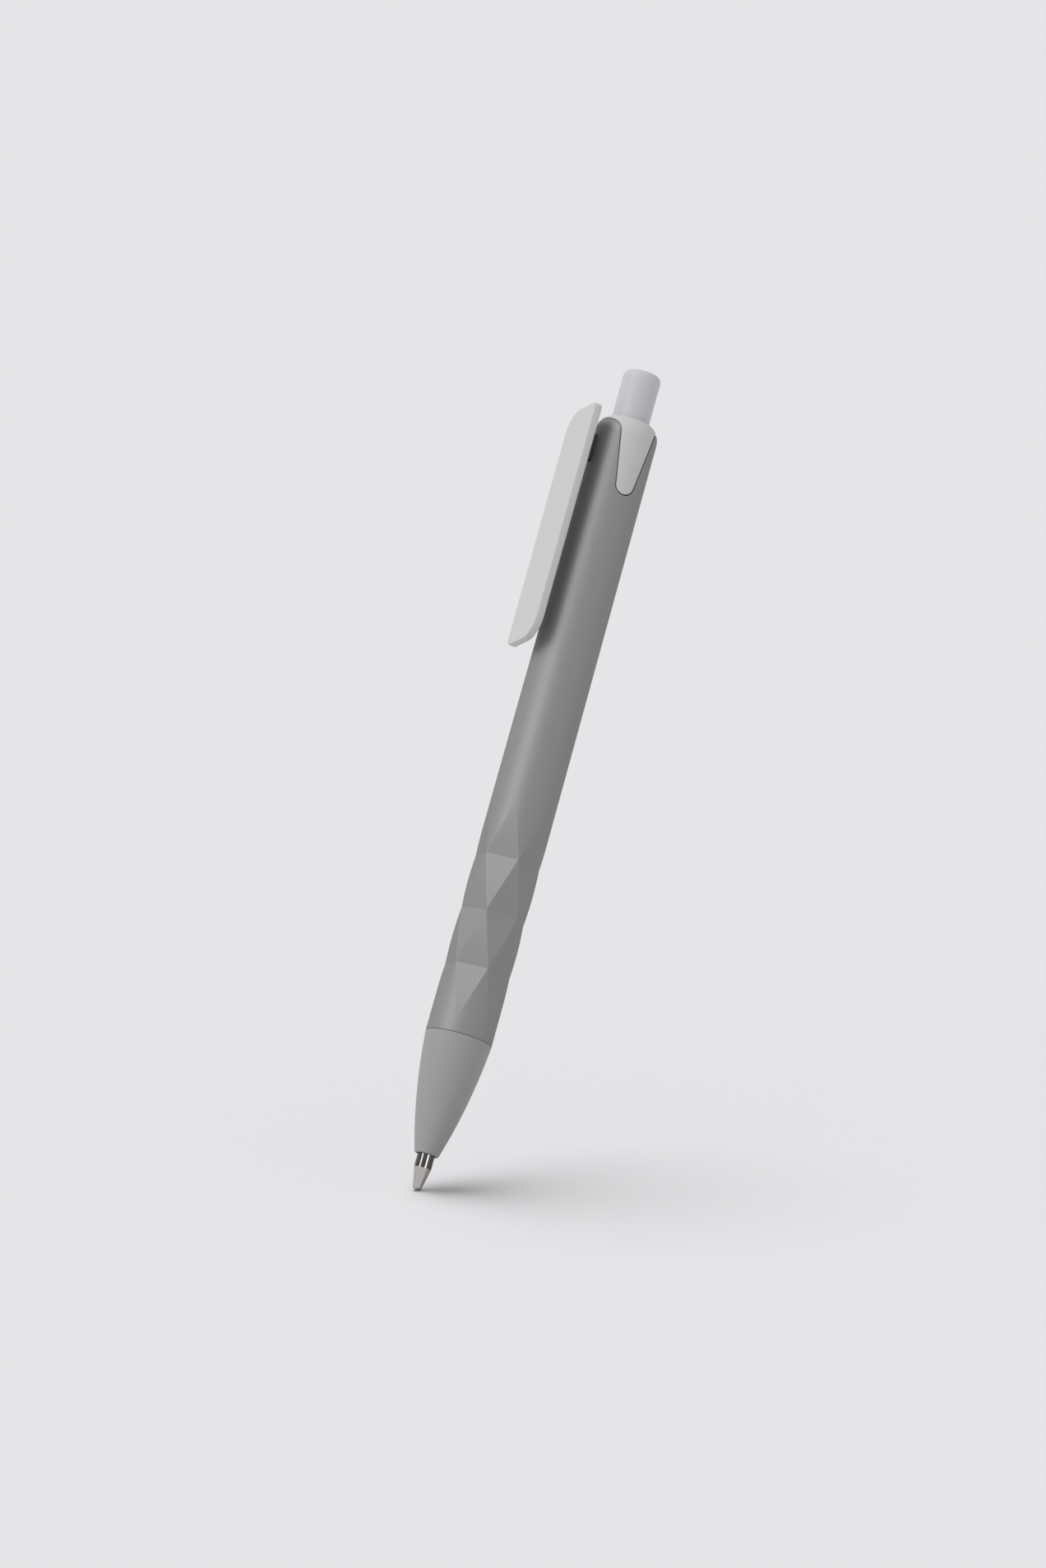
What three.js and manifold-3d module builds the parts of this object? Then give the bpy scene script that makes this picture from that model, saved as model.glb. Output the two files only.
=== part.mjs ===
// Retractable ballpoint pen with a facetted grip, in millimetres.
// The pen's axis is Z. The ball touches the paper at the origin, the push button is at the top,
// and the pocket clip faces -Y. The pen is in its writing position: refill out, cam latched.

import * as THREE from 'three';
import { mergeVertices } from 'three/addons/utils/BufferGeometryUtils.js';
import Module from 'manifold-3d';

const wasm = await Module();
wasm.setup();

// Clearances
const RUNNING_CLEARANCE = 0.1; // round parts that slide or turn in each other
const PRESS_CLEARANCE = 0.13; // round parts pushed into a bore, per side
const SEAT_GAP = 0.2; // end faces that rest on each other
const SEAM = 0.18; // the fine line round each collar tongue
const SNAP_CLEARANCE = 0.3; // the clip's root in its window, all round

// Refill
const BALL_DIAMETER = 1.0;
const BALL_PLAY = 0.05;
const BALL_SHOWN = 0.2; // how far the ball stands out of the tip's lip
const TIP_DIAMETER = 2.96;
const TIP_LIP_WALL = 0.16;
const TIP_CONE_LENGTH = 3.65;
const TIP_BODY_LENGTH = 9.8;
const TIP_CONE_NOSE_DIAMETER = 1.56;
const INK_CHANNEL_DIAMETER = 0.6;
const TUBE_DIAMETER = 3.0;
const TUBE_WALL = 0.45;
const TIP_SPIGOT_LENGTH = 4;
const REFILL_LENGTH = 97.7;
const INK_END_SPACE = 9; // empty tube over the ink, under the rotor's stem
const EAR_SPREAD = 4.7; // across the two pinched ears that carry the spring
const EAR_HEIGHT = 3;
const EAR_THICKNESS = 0.8;

// Return spring
const SPRING_WIRE = 0.4;
const SPRING_LENGTH = 25.7;
const SPRING_TURNS = 14;
const SPRING_PLAY = 0.25; // between the spring and the tube inside it
const SPRING_SEAT_HEIGHT = 4.8; // the seat inside the nose, over the nose's mouth

// Nose cone
const TIP_REACH = 6.2; // how far the refill stands out of the nose
const NOSE_LENGTH = 20.45;
const NOSE_LIP_WALL = 0.54;
const NOSE_LIP_FILLET = 0.42;
const NOSE_FRONT_SLOPE = 0.29; // radius gained per length at the mouth
const NOSE_BACK_SLOPE = 0.08; // and at the parting line
const CHAMBER_PLAY = 0.3; // round the spring
const SPIGOT_WALL = 1.15;
const SPIGOT_LENGTH = 8;
const SPIGOT_CHAMFER = 0.4;
const PARTING_GAP = 0.1;
const PARTING_EDGE = 0.16; // rounded edges on both sides of the parting line

// Click mechanism
const CLICK_TRAVEL = 6.6; // from writing position back to the retracted one, past the tip's reach
const OVER_TRAVEL = 1.2; // further push that frees the latch
const CLICK_PLAY = 0.3; // loose play of the latched button over the rotor
const CAM_TEETH = 8;
const CAM_TOOTH_HEIGHT = 1;
const CAM_TOOTH_INSET = 0.05; // the teeth's outer face inside the hub's
const ROTOR_HEIGHT = 5;
const ROTOR_FINS = 4;
const FIN_WIDTH = 1;
const FIN_FOOT = 0.6; // bare hub under the fins
const FIN_STAND = 0.65; // fins over the hub's surface
const FIN_DROP = 0.15; // fins' highest corner under the tooth roots
const STEM_DIAMETER = 4.9; // the button's lower tube and the rotor's hub
const STEM_BORE_DIAMETER = 3.2;
const ROTOR_PILOT_DIAMETER = 2.6; // pin that keeps the rotor in line with the button
const ROTOR_PILOT_LENGTH = 4;
const ROTOR_STEM_LENGTH = 4;
const CHANNEL_SIDE_PLAY = 0.15;
const RIB_LENGTH = 13;
const RIB_PLAY = 0.15; // between the ribs and the button's tube
const KEY_STAND = 0.3; // the button's guide keys over its tube
const KEY_LENGTH = 5;
const SHALLOW_CHANNEL_PLAY = 0.1;
const DEEP_CHANNEL_PLAY = 0.2;
const SLEEVE_WALL = 0.8;

// Push button
const BUTTON_DIAMETER = 6.44;
const BUTTON_REACH = 8.6; // shown over the collar in writing position
const BUTTON_EDGE = 1.3;
const BUTTON_TOP_WALL = 2;
const BUTTON_STEP_DEPTH = 7.6; // the full diameter goes on this far into the collar
const FLANGE_STAND = 0.33; // stop flange over the button's diameter
const FLANGE_THICKNESS = 1.5;

// Collar and barrel top
const COLLAR_WALL = 0.8;
const COLLAR_SLEEVE_LENGTH = 10.5;
const DOME_RADIUS = 3.3;
const TONGUE_DROP = 10.45; // tongue tip under the dome's base
const TONGUE_TIP_RADIUS = 1.6;
const TONGUE_FLARE = 8.5; // degrees, each side
const LOBE_RISE = 2.15; // top of the barrel's lobes over the dome's base
const LOBE_CORNER = 2.2;
const TONGUE_OVERLAP = 0.35; // how far a tongue reaches into the barrel's bore
const BARREL_WALL = 1.1;

// Facetted grip
const GRIP_WALL = 1.3; // thinnest wall, under a facet's valley
const FACETS_AROUND = 6;
const FACET_ROWS = 4;
const FACET_PITCH = 9.6;
const FACET_START = 2.25; // first row of corners over the parting line
const FACET_TURN = 23.5; // degrees from the clip to the second row's first corner

// Pocket clip
const CLIP_LENGTH = 42.6;
const CLIP_WIDTH = 9.2;
const CLIP_THICKNESS = 1.35;
const CLIP_GAP = 2.2; // pocket space between the clip and the barrel
const CLIP_DROP = 0.05; // clip's top end under the collar's top
const CLIP_END_SLANT = 9; // degrees
const CLIP_LARGE_CORNER = 4.3;
const CLIP_SMALL_CORNER = 0.9;
const CLIP_EDGE_BEVEL = 0.14;
const CLIP_WEB_INSET = 3.7;
const CLIP_WEB_HEIGHT = 5;
const CLIP_WEB_WIDTH = 1.1;
const CLIP_BARB_LIP = 0.4;
const CLIP_BARB_THICKNESS = 0.4;
const CLIP_BARB_GAP = 0.25;
const NUB_HEIGHT = 1.2;
const NUB_RADIUS = 1.5;
const NUB_INSET = 4;

// How finely round faces are divided
const OUTER_SEGMENTS = 60;
const INNER_SEGMENTS = 48;
const SMALL_SEGMENTS = 32;
const LEVELS_PER_ROW = 4;
const HALF_STEP = 180 / INNER_SEGMENTS; // turns a bore's edges off the edges of what it cuts

// Radii, from the inside out
const ballRadius = BALL_DIAMETER / 2;
const socketRadius = ballRadius + BALL_PLAY;
const tipRadius = TIP_DIAMETER / 2;
const tubeRadius = TUBE_DIAMETER / 2;
const tubeBoreRadius = tubeRadius - TUBE_WALL;
const spigotRadiusInTube = tubeBoreRadius - RUNNING_CLEARANCE;
const mouthRadius = Math.max(tubeRadius, tipRadius) + RUNNING_CLEARANCE;
const springInnerRadius = Math.max(tubeRadius, tipRadius) + SPRING_PLAY - RUNNING_CLEARANCE;
const springMeanRadius = springInnerRadius + SPRING_WIRE / 2;
const chamberRadius = springMeanRadius + SPRING_WIRE / 2 + CHAMBER_PLAY;
const spigotRadius = chamberRadius + SPIGOT_WALL;
const lowerBoreRadius = spigotRadius + PRESS_CLEARANCE;
const gripRadius = (lowerBoreRadius + GRIP_WALL) / Math.cos(Math.PI / FACETS_AROUND);
const noseLipRadius = mouthRadius + NOSE_LIP_WALL;
const stemRadius = STEM_DIAMETER / 2;
const stemBoreRadius = STEM_BORE_DIAMETER / 2;
const finRadius = stemRadius + FIN_STAND;
const keyRadius = stemRadius + KEY_STAND;
const ribInnerRadius = stemRadius + RIB_PLAY;
const shallowFloorRadius = keyRadius + SHALLOW_CHANNEL_PLAY;
const deepFloorRadius = finRadius + DEEP_CHANNEL_PLAY;
const buttonRadius = BUTTON_DIAMETER / 2;
const flangeRadius = buttonRadius + FLANGE_STAND;
const collarHoleRadius = buttonRadius + RUNNING_CLEARANCE;
const collarSleeveRadius = collarHoleRadius + COLLAR_WALL;
const boreRadius = Math.max(collarSleeveRadius, deepFloorRadius + SLEEVE_WALL) + PRESS_CLEARANCE;
const sleeveRadius = boreRadius - PRESS_CLEARANCE;
const barrelTopRadius = boreRadius + BARREL_WALL;
const tongueInnerRadius = boreRadius - TONGUE_OVERLAP;

// Heights, from the paper up
const mouthZ = TIP_REACH;
const partingZ = mouthZ + NOSE_LENGTH;
const springSeatZ = mouthZ + SPRING_SEAT_HEIGHT;
const springBottomZ = springSeatZ + SEAT_GAP;
const springTopZ = springBottomZ + SPRING_LENGTH;
const earsZ = springTopZ + SEAT_GAP;
const tubeBottomZ = TIP_BODY_LENGTH + SEAT_GAP / 2;
const refillEndZ = REFILL_LENGTH;
const rotorBaseZ = refillEndZ + SEAT_GAP;
const rotorRootZ = rotorBaseZ + ROTOR_HEIGHT;
const crownTipZ = rotorRootZ + CAM_TOOTH_HEIGHT + CLICK_PLAY;
const crownRootZ = crownTipZ + CAM_TOOTH_HEIGHT;
const finTopZ = rotorRootZ - FIN_DROP;
const ribLowZ = finTopZ + CLICK_PLAY;
const ribTopZ = ribLowZ + RIB_LENGTH;
const sleeveBottomZ = rotorBaseZ - OVER_TRAVEL - CAM_TOOTH_HEIGHT;
const ledgeZ = sleeveBottomZ - SEAT_GAP;
const flangeBottomZ = ribTopZ + OVER_TRAVEL + CLICK_PLAY;
const flangeTopZ = flangeBottomZ + FLANGE_THICKNESS;
const collarBottomZ = flangeTopZ + CLICK_TRAVEL + RUNNING_CLEARANCE;
const collarTopZ = collarBottomZ + COLLAR_SLEEVE_LENGTH;
const buttonTopZ = collarTopZ + BUTTON_REACH;
const domeCentreRadius = barrelTopRadius - DOME_RADIUS;
const domeHeight = Math.sqrt(DOME_RADIUS ** 2 - (collarHoleRadius - domeCentreRadius) ** 2);
const domeBaseZ = collarTopZ - domeHeight;
const clipTopZ = collarTopZ - CLIP_DROP;
const clipBottomZ = clipTopZ - CLIP_LENGTH;
const webTopZ = clipTopZ - CLIP_WEB_INSET;
const webBottomZ = webTopZ - CLIP_WEB_HEIGHT;
const webMiddleZ = (webTopZ + webBottomZ) / 2;

// The barrel's taper from the parting line to the dome
function barrelRadius(z) {
  const share = (z - partingZ) / (domeBaseZ - partingZ);
  return gripRadius + (barrelTopRadius - gripRadius) * share;
}

// Joins equal corners and drops triangles that have lost their area
function weld(geometry) {
  const bare = geometry.clone();
  bare.deleteAttribute('normal');
  bare.deleteAttribute('uv');
  const merged = mergeVertices(bare, 1e-4);
  const index = merged.index.array;
  const kept = [];
  for (let i = 0; i < index.length; i += 3) {
    const [a, b, c] = [index[i], index[i + 1], index[i + 2]];
    if (a !== b && b !== c && c !== a) kept.push(a, b, c);
  }
  merged.setIndex(kept);
  return merged;
}

function toSolid(geometry) {
  const welded = weld(geometry);
  return new wasm.Manifold(new wasm.Mesh({
    numProp: 3,
    vertProperties: new Float32Array(welded.attributes.position.array),
    triVerts: new Uint32Array(welded.index.array),
  }));
}

function fromSolid(solid) {
  const mesh = solid.getMesh();
  const geometry = new THREE.BufferGeometry();
  geometry.setAttribute('position', new THREE.BufferAttribute(mesh.vertProperties, 3));
  geometry.setIndex(new THREE.BufferAttribute(mesh.triVerts, 1));
  return geometry;
}

// A geometry from a list of corners and of triangles that index them
function fromTriangles(corners, triangles) {
  const geometry = new THREE.BufferGeometry();
  const positions = corners.flatMap((p) => [p.x, p.y, p.z]);
  geometry.setAttribute('position', new THREE.Float32BufferAttribute(positions, 3));
  geometry.setIndex(triangles);
  return weld(geometry);
}

// Turns a profile of [radius, height] pairs round Z; outer sides run upwards
function revolve(profile, segments) {
  const points = profile.map(([r, z]) => new THREE.Vector2(r, z));
  return weld(new THREE.LatheGeometry(points, segments).rotateX(Math.PI / 2));
}

// The same for a ring, whose profile closes on itself
function revolveRing(profile, segments) {
  return revolve([...profile, profile[0]], segments);
}

// Points on an arc in a profile, angles in degrees from the outward direction
function arc(centreRadius, centreZ, radius, from, to, steps) {
  const points = [];
  for (let i = 0; i <= steps; i += 1) {
    const angle = THREE.MathUtils.degToRad(from + ((to - from) * i) / steps);
    points.push([centreRadius + radius * Math.cos(angle), centreZ + radius * Math.sin(angle)]);
  }
  return points;
}

function box(lowX, lowY, lowZ, highX, highY, highZ) {
  const geometry = new THREE.BoxGeometry(highX - lowX, highY - lowY, highZ - lowZ);
  return geometry.translate((lowX + highX) / 2, (lowY + highY) / 2, (lowZ + highZ) / 2);
}

// A point on a circle round the pen, angle in degrees counted from the clip's side towards +X
function around(radius, degrees, z) {
  const angle = THREE.MathUtils.degToRad(degrees - 90);
  return new THREE.Vector3(radius * Math.cos(angle), radius * Math.sin(angle), z);
}

// A closed skin through level rings; rings in one run have as many points as each other
function loft(runs) {
  const corners = [];
  const triangles = [];
  const addRing = (ring) => {
    const first = corners.length;
    corners.push(...ring);
    return first;
  };
  for (const run of runs) {
    const firsts = run.map(addRing);
    const count = run[0].length;
    for (let level = 0; level < run.length - 1; level += 1) {
      for (let i = 0; i < count; i += 1) {
        const next = (i + 1) % count;
        const [a, b] = [firsts[level] + i, firsts[level] + next];
        const [c, d] = [firsts[level + 1] + next, firsts[level + 1] + i];
        triangles.push(a, b, c, a, c, d);
      }
    }
  }
  const cap = (ring, facesUp) => {
    const first = addRing(ring);
    const centre = corners.length;
    corners.push(new THREE.Vector3(0, 0, ring[0].z));
    for (let i = 0; i < ring.length; i += 1) {
      const next = (i + 1) % ring.length;
      if (facesUp) triangles.push(centre, first + i, first + next);
      else triangles.push(centre, first + next, first + i);
    }
  };
  cap(runs[0][0], false);
  cap(runs.at(-1).at(-1), true);
  return fromTriangles(corners, triangles);
}

// A ring of teeth: flat at flatZ, and at the other end as high as the tooth outline says.
// The outline gives [share of the tooth's pitch, height] corners, from share 0 up to below 1.
function toothedRing(innerRadius, outerRadius, flatZ, toothZ, teeth, outline, pointsDown) {
  const inner = [];
  const outer = [];
  const stepsPerTooth = INNER_SEGMENTS / CAM_TEETH;
  const shares = new Set(outline.map(([share]) => share));
  for (let i = 0; i < stepsPerTooth; i += 1) shares.add(i / stepsPerTooth);
  const sorted = [...shares].sort((a, b) => a - b);
  const corners = [...outline, [1, outline[0][1]]];
  const heightAt = (share) => {
    const after = corners.findIndex(([s]) => s > share);
    const [[s0, h0], [s1, h1]] = [corners[after - 1], corners[after]];
    return h0 + ((h1 - h0) * (share - s0)) / (s1 - s0);
  };
  for (let tooth = 0; tooth < teeth; tooth += 1) {
    for (const share of sorted) {
      const degrees = (360 / teeth) * (tooth + share);
      const z = toothZ + heightAt(share) * (pointsDown ? -1 : 1);
      inner.push(around(innerRadius, degrees, z));
      outer.push(around(outerRadius, degrees, z));
    }
  }
  const flat = (list) => list.map((p) => new THREE.Vector3(p.x, p.y, flatZ));
  const loops = [inner, outer, flat(outer), flat(inner)];
  const count = inner.length;
  const triangles = [];
  for (let loop = 0; loop < loops.length; loop += 1) {
    const other = (loop + 1) % loops.length;
    for (let i = 0; i < count; i += 1) {
      const next = (i + 1) % count;
      const [a, b] = [loop * count + i, loop * count + next];
      const [c, d] = [other * count + next, other * count + i];
      if (pointsDown) triangles.push(a, b, c, a, c, d);
      else triangles.push(a, c, b, a, d, c);
    }
  }
  return fromTriangles(loops.flat(), triangles);
}

// Copies of one solid turned evenly round the pen
function repeatAround(solid, count, firstDegrees = 0) {
  const copies = [];
  for (let i = 0; i < count; i += 1) {
    copies.push(solid.rotate([0, 0, firstDegrees + (360 / count) * i]));
  }
  return copies.reduce((all, copy) => all.add(copy));
}

const pen = new THREE.Group();

function addPiece(name, geometry, color, roughness, metalness) {
  const material = new THREE.MeshStandardMaterial({ color, roughness, metalness });
  const mesh = new THREE.Mesh(geometry, material);
  mesh.name = name;
  pen.add(mesh);
}

// Ball
function makeBall() {
  const profile = arc(0, ballRadius, ballRadius, -90, 90, SMALL_SEGMENTS / 4);
  return revolve(profile, SMALL_SEGMENTS / 2);
}

// Turned metal tip: lip over the ball, cone, cylinder and a spigot in the tube
function makeTip() {
  const lipZ = BALL_SHOWN;
  const lipAngle = -THREE.MathUtils.radToDeg(Math.asin((ballRadius - lipZ) / socketRadius));
  const socket = arc(0, ballRadius, socketRadius, 60, lipAngle, 8);
  const lipInner = socket.at(-1)[0];
  const channelRadius = INK_CHANNEL_DIAMETER / 2;
  const noseRadius = TIP_CONE_NOSE_DIAMETER / 2;
  const lipRound = TIP_LIP_WALL;
  const profile = [
    [lipInner + TIP_LIP_WALL, lipZ],
    [noseRadius - lipRound / 2, lipZ + lipRound / 2],
    [noseRadius, lipZ + lipRound * 1.5],
    [tipRadius, TIP_CONE_LENGTH + lipZ],
    [tipRadius, TIP_BODY_LENGTH],
    [spigotRadiusInTube, TIP_BODY_LENGTH],
    [spigotRadiusInTube, TIP_BODY_LENGTH + TIP_SPIGOT_LENGTH],
    [channelRadius, TIP_BODY_LENGTH + TIP_SPIGOT_LENGTH],
    [channelRadius, ballRadius + socketRadius],
    ...socket,
  ];
  return revolveRing(profile, SMALL_SEGMENTS);
}

// Plastic tube with two pinched ears that hold the spring
function makeTube() {
  const tube = toSolid(revolveRing([
    [tubeBoreRadius, tubeBottomZ],
    [tubeRadius, tubeBottomZ],
    [tubeRadius, refillEndZ],
    [tubeBoreRadius, refillEndZ],
  ], SMALL_SEGMENTS));
  const reach = EAR_SPREAD / 2;
  const outline = new THREE.Shape();
  outline.moveTo(tubeBoreRadius + TUBE_WALL / 2, earsZ);
  outline.lineTo(reach, earsZ);
  outline.lineTo(reach, earsZ + EAR_HEIGHT / 3);
  outline.lineTo(tubeBoreRadius + TUBE_WALL / 2, earsZ + EAR_HEIGHT);
  const ear = new THREE.ExtrudeGeometry(outline, { depth: EAR_THICKNESS, bevelEnabled: false });
  ear.translate(0, 0, -EAR_THICKNESS / 2).rotateX(Math.PI / 2);
  return fromSolid(tube.add(repeatAround(toSolid(ear), 2)));
}

// Ink that fills the tube over the tip's spigot
function makeInk() {
  const bottom = TIP_BODY_LENGTH + TIP_SPIGOT_LENGTH + SEAT_GAP;
  const top = refillEndZ - ROTOR_STEM_LENGTH - INK_END_SPACE;
  return revolve([
    [0, bottom],
    [spigotRadiusInTube, bottom],
    [spigotRadiusInTube, top],
    [0, top],
  ], SMALL_SEGMENTS / 2);
}

// Return spring: one unbroken wire, 8 steps a turn and 5 sides, with a short straight end each side
function makeSpring() {
  const stepsPerTurn = 8;
  const sides = 5;
  const steps = SPRING_TURNS * stepsPerTurn;
  const bottom = springBottomZ + SPRING_WIRE;
  const rise = SPRING_LENGTH - 2 * SPRING_WIRE;
  const path = [around(springMeanRadius, 0, springBottomZ)];
  for (let i = 0; i <= steps; i += 1) {
    path.push(around(springMeanRadius, (360 * i) / stepsPerTurn, bottom + (rise * i) / steps));
  }
  const last = path.at(-1);
  path.push(new THREE.Vector3(last.x, last.y, springTopZ));
  const rings = path.map((point, i) => {
    const before = path[Math.max(i - 1, 0)];
    const after = path[Math.min(i + 1, path.length - 1)];
    const along = after.clone().sub(before).normalize();
    const outward = new THREE.Vector3(point.x, point.y, 0).normalize();
    const sideways = along.clone().cross(outward).normalize();
    const first = sideways.clone().cross(along).normalize();
    return Array.from({ length: sides }, (_, k) => {
      const angle = (2 * Math.PI * k) / sides;
      return point.clone()
        .addScaledVector(first, (Math.cos(angle) * SPRING_WIRE) / 2)
        .addScaledVector(sideways, (Math.sin(angle) * SPRING_WIRE) / 2);
    });
  });
  let leastGap = Infinity;
  for (let i = 0; i < path.length; i += 1) {
    for (let j = i + stepsPerTurn / 2; j < path.length; j += 1) {
      leastGap = Math.min(leastGap, path[i].distanceTo(path[j]) - SPRING_WIRE);
    }
  }
  console.log(`return spring: least gap to itself ${leastGap.toFixed(2)} mm`);
  const corners = rings.flat();
  const triangles = [];
  for (let i = 0; i < rings.length - 1; i += 1) {
    for (let k = 0; k < sides; k += 1) {
      const next = (k + 1) % sides;
      const [a, b] = [i * sides + k, i * sides + next];
      const [c, d] = [(i + 1) * sides + next, (i + 1) * sides + k];
      triangles.push(a, b, c, a, c, d);
    }
  }
  const lastRing = (rings.length - 1) * sides;
  for (let k = 1; k < sides - 1; k += 1) {
    triangles.push(0, k + 1, k, lastRing, lastRing + k, lastRing + k + 1);
  }
  return fromTriangles(corners, triangles);
}

// Nose cone: ogive outside, spring chamber inside, spigot that screws into the barrel
function makeNose() {
  const start = new THREE.Vector2(noseLipRadius, mouthZ + NOSE_LIP_FILLET);
  const end = new THREE.Vector2(gripRadius, partingZ - PARTING_EDGE);
  const run = end.y - start.y;
  const rise = end.x - start.x;
  const turnAt = (rise - NOSE_BACK_SLOPE * run) / (NOSE_FRONT_SLOPE - NOSE_BACK_SLOPE);
  const turn = new THREE.Vector2(start.x + NOSE_FRONT_SLOPE * turnAt, start.y + turnAt);
  const flank = new THREE.QuadraticBezierCurve(start, turn, end);
  const top = partingZ + SPIGOT_LENGTH;
  const outside = toSolid(revolve([
    [0, mouthZ],
    ...arc(noseLipRadius - NOSE_LIP_FILLET, mouthZ + NOSE_LIP_FILLET, NOSE_LIP_FILLET, -90, 0, 4),
    ...flank.getPoints(16).slice(1).map((p) => [p.x, p.y]),
    [gripRadius - PARTING_EDGE, partingZ],
    [spigotRadius, partingZ],
    [spigotRadius, top - SPIGOT_CHAMFER],
    [spigotRadius - SPIGOT_CHAMFER, top],
    [0, top],
  ], OUTER_SEGMENTS));
  const bore = toSolid(revolve([
    [0, mouthZ - TIP_REACH],
    [mouthRadius, mouthZ - TIP_REACH],
    [mouthRadius, springSeatZ],
    [chamberRadius, springSeatZ],
    [chamberRadius, top + SPIGOT_LENGTH],
    [0, top + SPIGOT_LENGTH],
  ], SMALL_SEGMENTS));
  return fromSolid(outside.subtract(bore));
}

// Outline shared by a collar tongue and its cut-out: a round tip, flared flanks and a wide top.
// It lies in the plane of the clip and the axis, and grows by the given margin.
function tongueOutline(margin) {
  const flare = THREE.MathUtils.degToRad(TONGUE_FLARE);
  const tipRadius2 = TONGUE_TIP_RADIUS + margin;
  const tipCentreZ = domeBaseZ - TONGUE_DROP + TONGUE_TIP_RADIUS;
  const shelfZ = domeBaseZ + LOBE_RISE - margin;
  const corner = LOBE_CORNER - margin;
  const wide = 2 * barrelTopRadius;
  const high = collarTopZ + wide;
  // the corner's centre lies one corner radius under the shelf and outside the flank
  const cornerZ = shelfZ - corner;
  const cornerX = (tipRadius2 + corner) / Math.cos(flare) + (cornerZ - tipCentreZ) * Math.tan(flare);
  const shape = new THREE.Shape();
  shape.absarc(0, tipCentreZ, tipRadius2, Math.PI + flare, -flare, false);
  shape.absarc(cornerX, cornerZ, corner, Math.PI - flare, Math.PI / 2, true);
  shape.lineTo(wide, shelfZ);
  shape.lineTo(wide, high);
  shape.lineTo(-wide, high);
  shape.lineTo(-wide, shelfZ);
  shape.absarc(-cornerX, cornerZ, corner, Math.PI / 2, flare, true);
  return shape;
}

// The outline run through the pen from side to side, along X
function tonguePrism(margin) {
  const depth = 4 * barrelTopRadius;
  const prism = new THREE.ExtrudeGeometry(tongueOutline(margin), {
    depth,
    bevelEnabled: false,
    curveSegments: 10,
  });
  // shape x lies along Y, shape y along Z, and the depth along X
  prism.translate(0, 0, -depth / 2);
  prism.applyMatrix4(new THREE.Matrix4().makeBasis(
    new THREE.Vector3(0, 1, 0),
    new THREE.Vector3(0, 0, 1),
    new THREE.Vector3(1, 0, 0),
  ));
  return toSolid(prism);
}

// Barrel skin: facetted grip, straight taper and domed top.
// Each facet row is a run of level sections. A section's corners all lie on the grip's circle and
// slide round it with height, so they draw the zigzag ridges; between them the section is straight,
// or follows the circle in the first and last rows, where the facets run out.
function facetSection(row, share) {
  const pitch = 360 / FACETS_AROUND;
  const half = pitch / 2;
  const z = partingZ + FACET_START + FACET_PITCH * (row + share);
  const radius = barrelRadius(z);
  const roundSteps = OUTER_SEGMENTS / FACETS_AROUND;
  const widening = row === FACET_ROWS - 1 ? roundSteps : 1;
  const narrowing = row === 0 ? roundSteps : 1;
  const section = [];
  const spread = (from, to, steps) => {
    for (let i = 0; i < steps; i += 1) {
      section.push(around(radius, from + ((to - from) * i) / steps, z));
    }
  };
  for (let k = 0; k < FACETS_AROUND; k += 1) {
    const corner = FACET_TURN + pitch * k + (row % 2 === 0 ? half : 0);
    spread(corner - half * share, corner + half * share, widening);
    spread(corner + half * share, corner + pitch - half * share, narrowing);
  }
  return section;
}

// A round section whose points line up with the facets' corners
function roundSection(radius, z) {
  const first = FACET_TURN + 180 / FACETS_AROUND;
  return Array.from({ length: OUTER_SEGMENTS }, (_, i) => (
    around(radius, first + (360 / OUTER_SEGMENTS) * i, z)));
}

function makeBarrelSkin() {
  const bottomZ = partingZ + PARTING_GAP;
  const gripZ = partingZ + FACET_START;
  const gripEndZ = gripZ + FACET_PITCH * FACET_ROWS;
  const boreAngle = THREE.MathUtils.radToDeg(
    Math.acos((boreRadius - domeCentreRadius) / DOME_RADIUS));
  const foot = [
    roundSection(gripRadius - PARTING_EDGE, bottomZ),
    roundSection(barrelRadius(bottomZ + PARTING_EDGE), bottomZ + PARTING_EDGE),
    roundSection(barrelRadius(gripZ), gripZ),
  ];
  const top = [
    roundSection(barrelRadius(gripEndZ), gripEndZ),
    ...arc(domeCentreRadius, domeBaseZ, DOME_RADIUS, 0, boreAngle, 7)
      .map(([r, z]) => roundSection(r, z)),
  ];
  const rows = [];
  for (let row = 0; row < FACET_ROWS; row += 1) {
    const levels = Array.from({ length: LEVELS_PER_ROW + 1 }, (_, i) => i / LEVELS_PER_ROW);
    rows.push(levels.map((share) => facetSection(row, share)));
  }
  return loft([foot, ...rows, top]);
}

function clipWindow() {
  const halfWidth = CLIP_WEB_WIDTH / 2 + SNAP_CLEARANCE;
  return toSolid(box(
    -halfWidth, -2 * barrelTopRadius, webBottomZ - SNAP_CLEARANCE,
    halfWidth, -boreRadius / 2, webTopZ + SNAP_CLEARANCE,
  ));
}

function makeBarrel() {
  const farBelow = mouthZ;
  const farAbove = collarTopZ + BUTTON_REACH;
  const bore = toSolid(revolve([
    [0, farBelow],
    [lowerBoreRadius, farBelow],
    [lowerBoreRadius, ledgeZ],
    [boreRadius, ledgeZ],
    [boreRadius, farAbove],
    [0, farAbove],
  ], INNER_SEGMENTS));
  return fromSolid(toSolid(makeBarrelSkin())
    .subtract(bore)
    .subtract(tonguePrism(SEAM))
    .subtract(clipWindow()));
}

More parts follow.
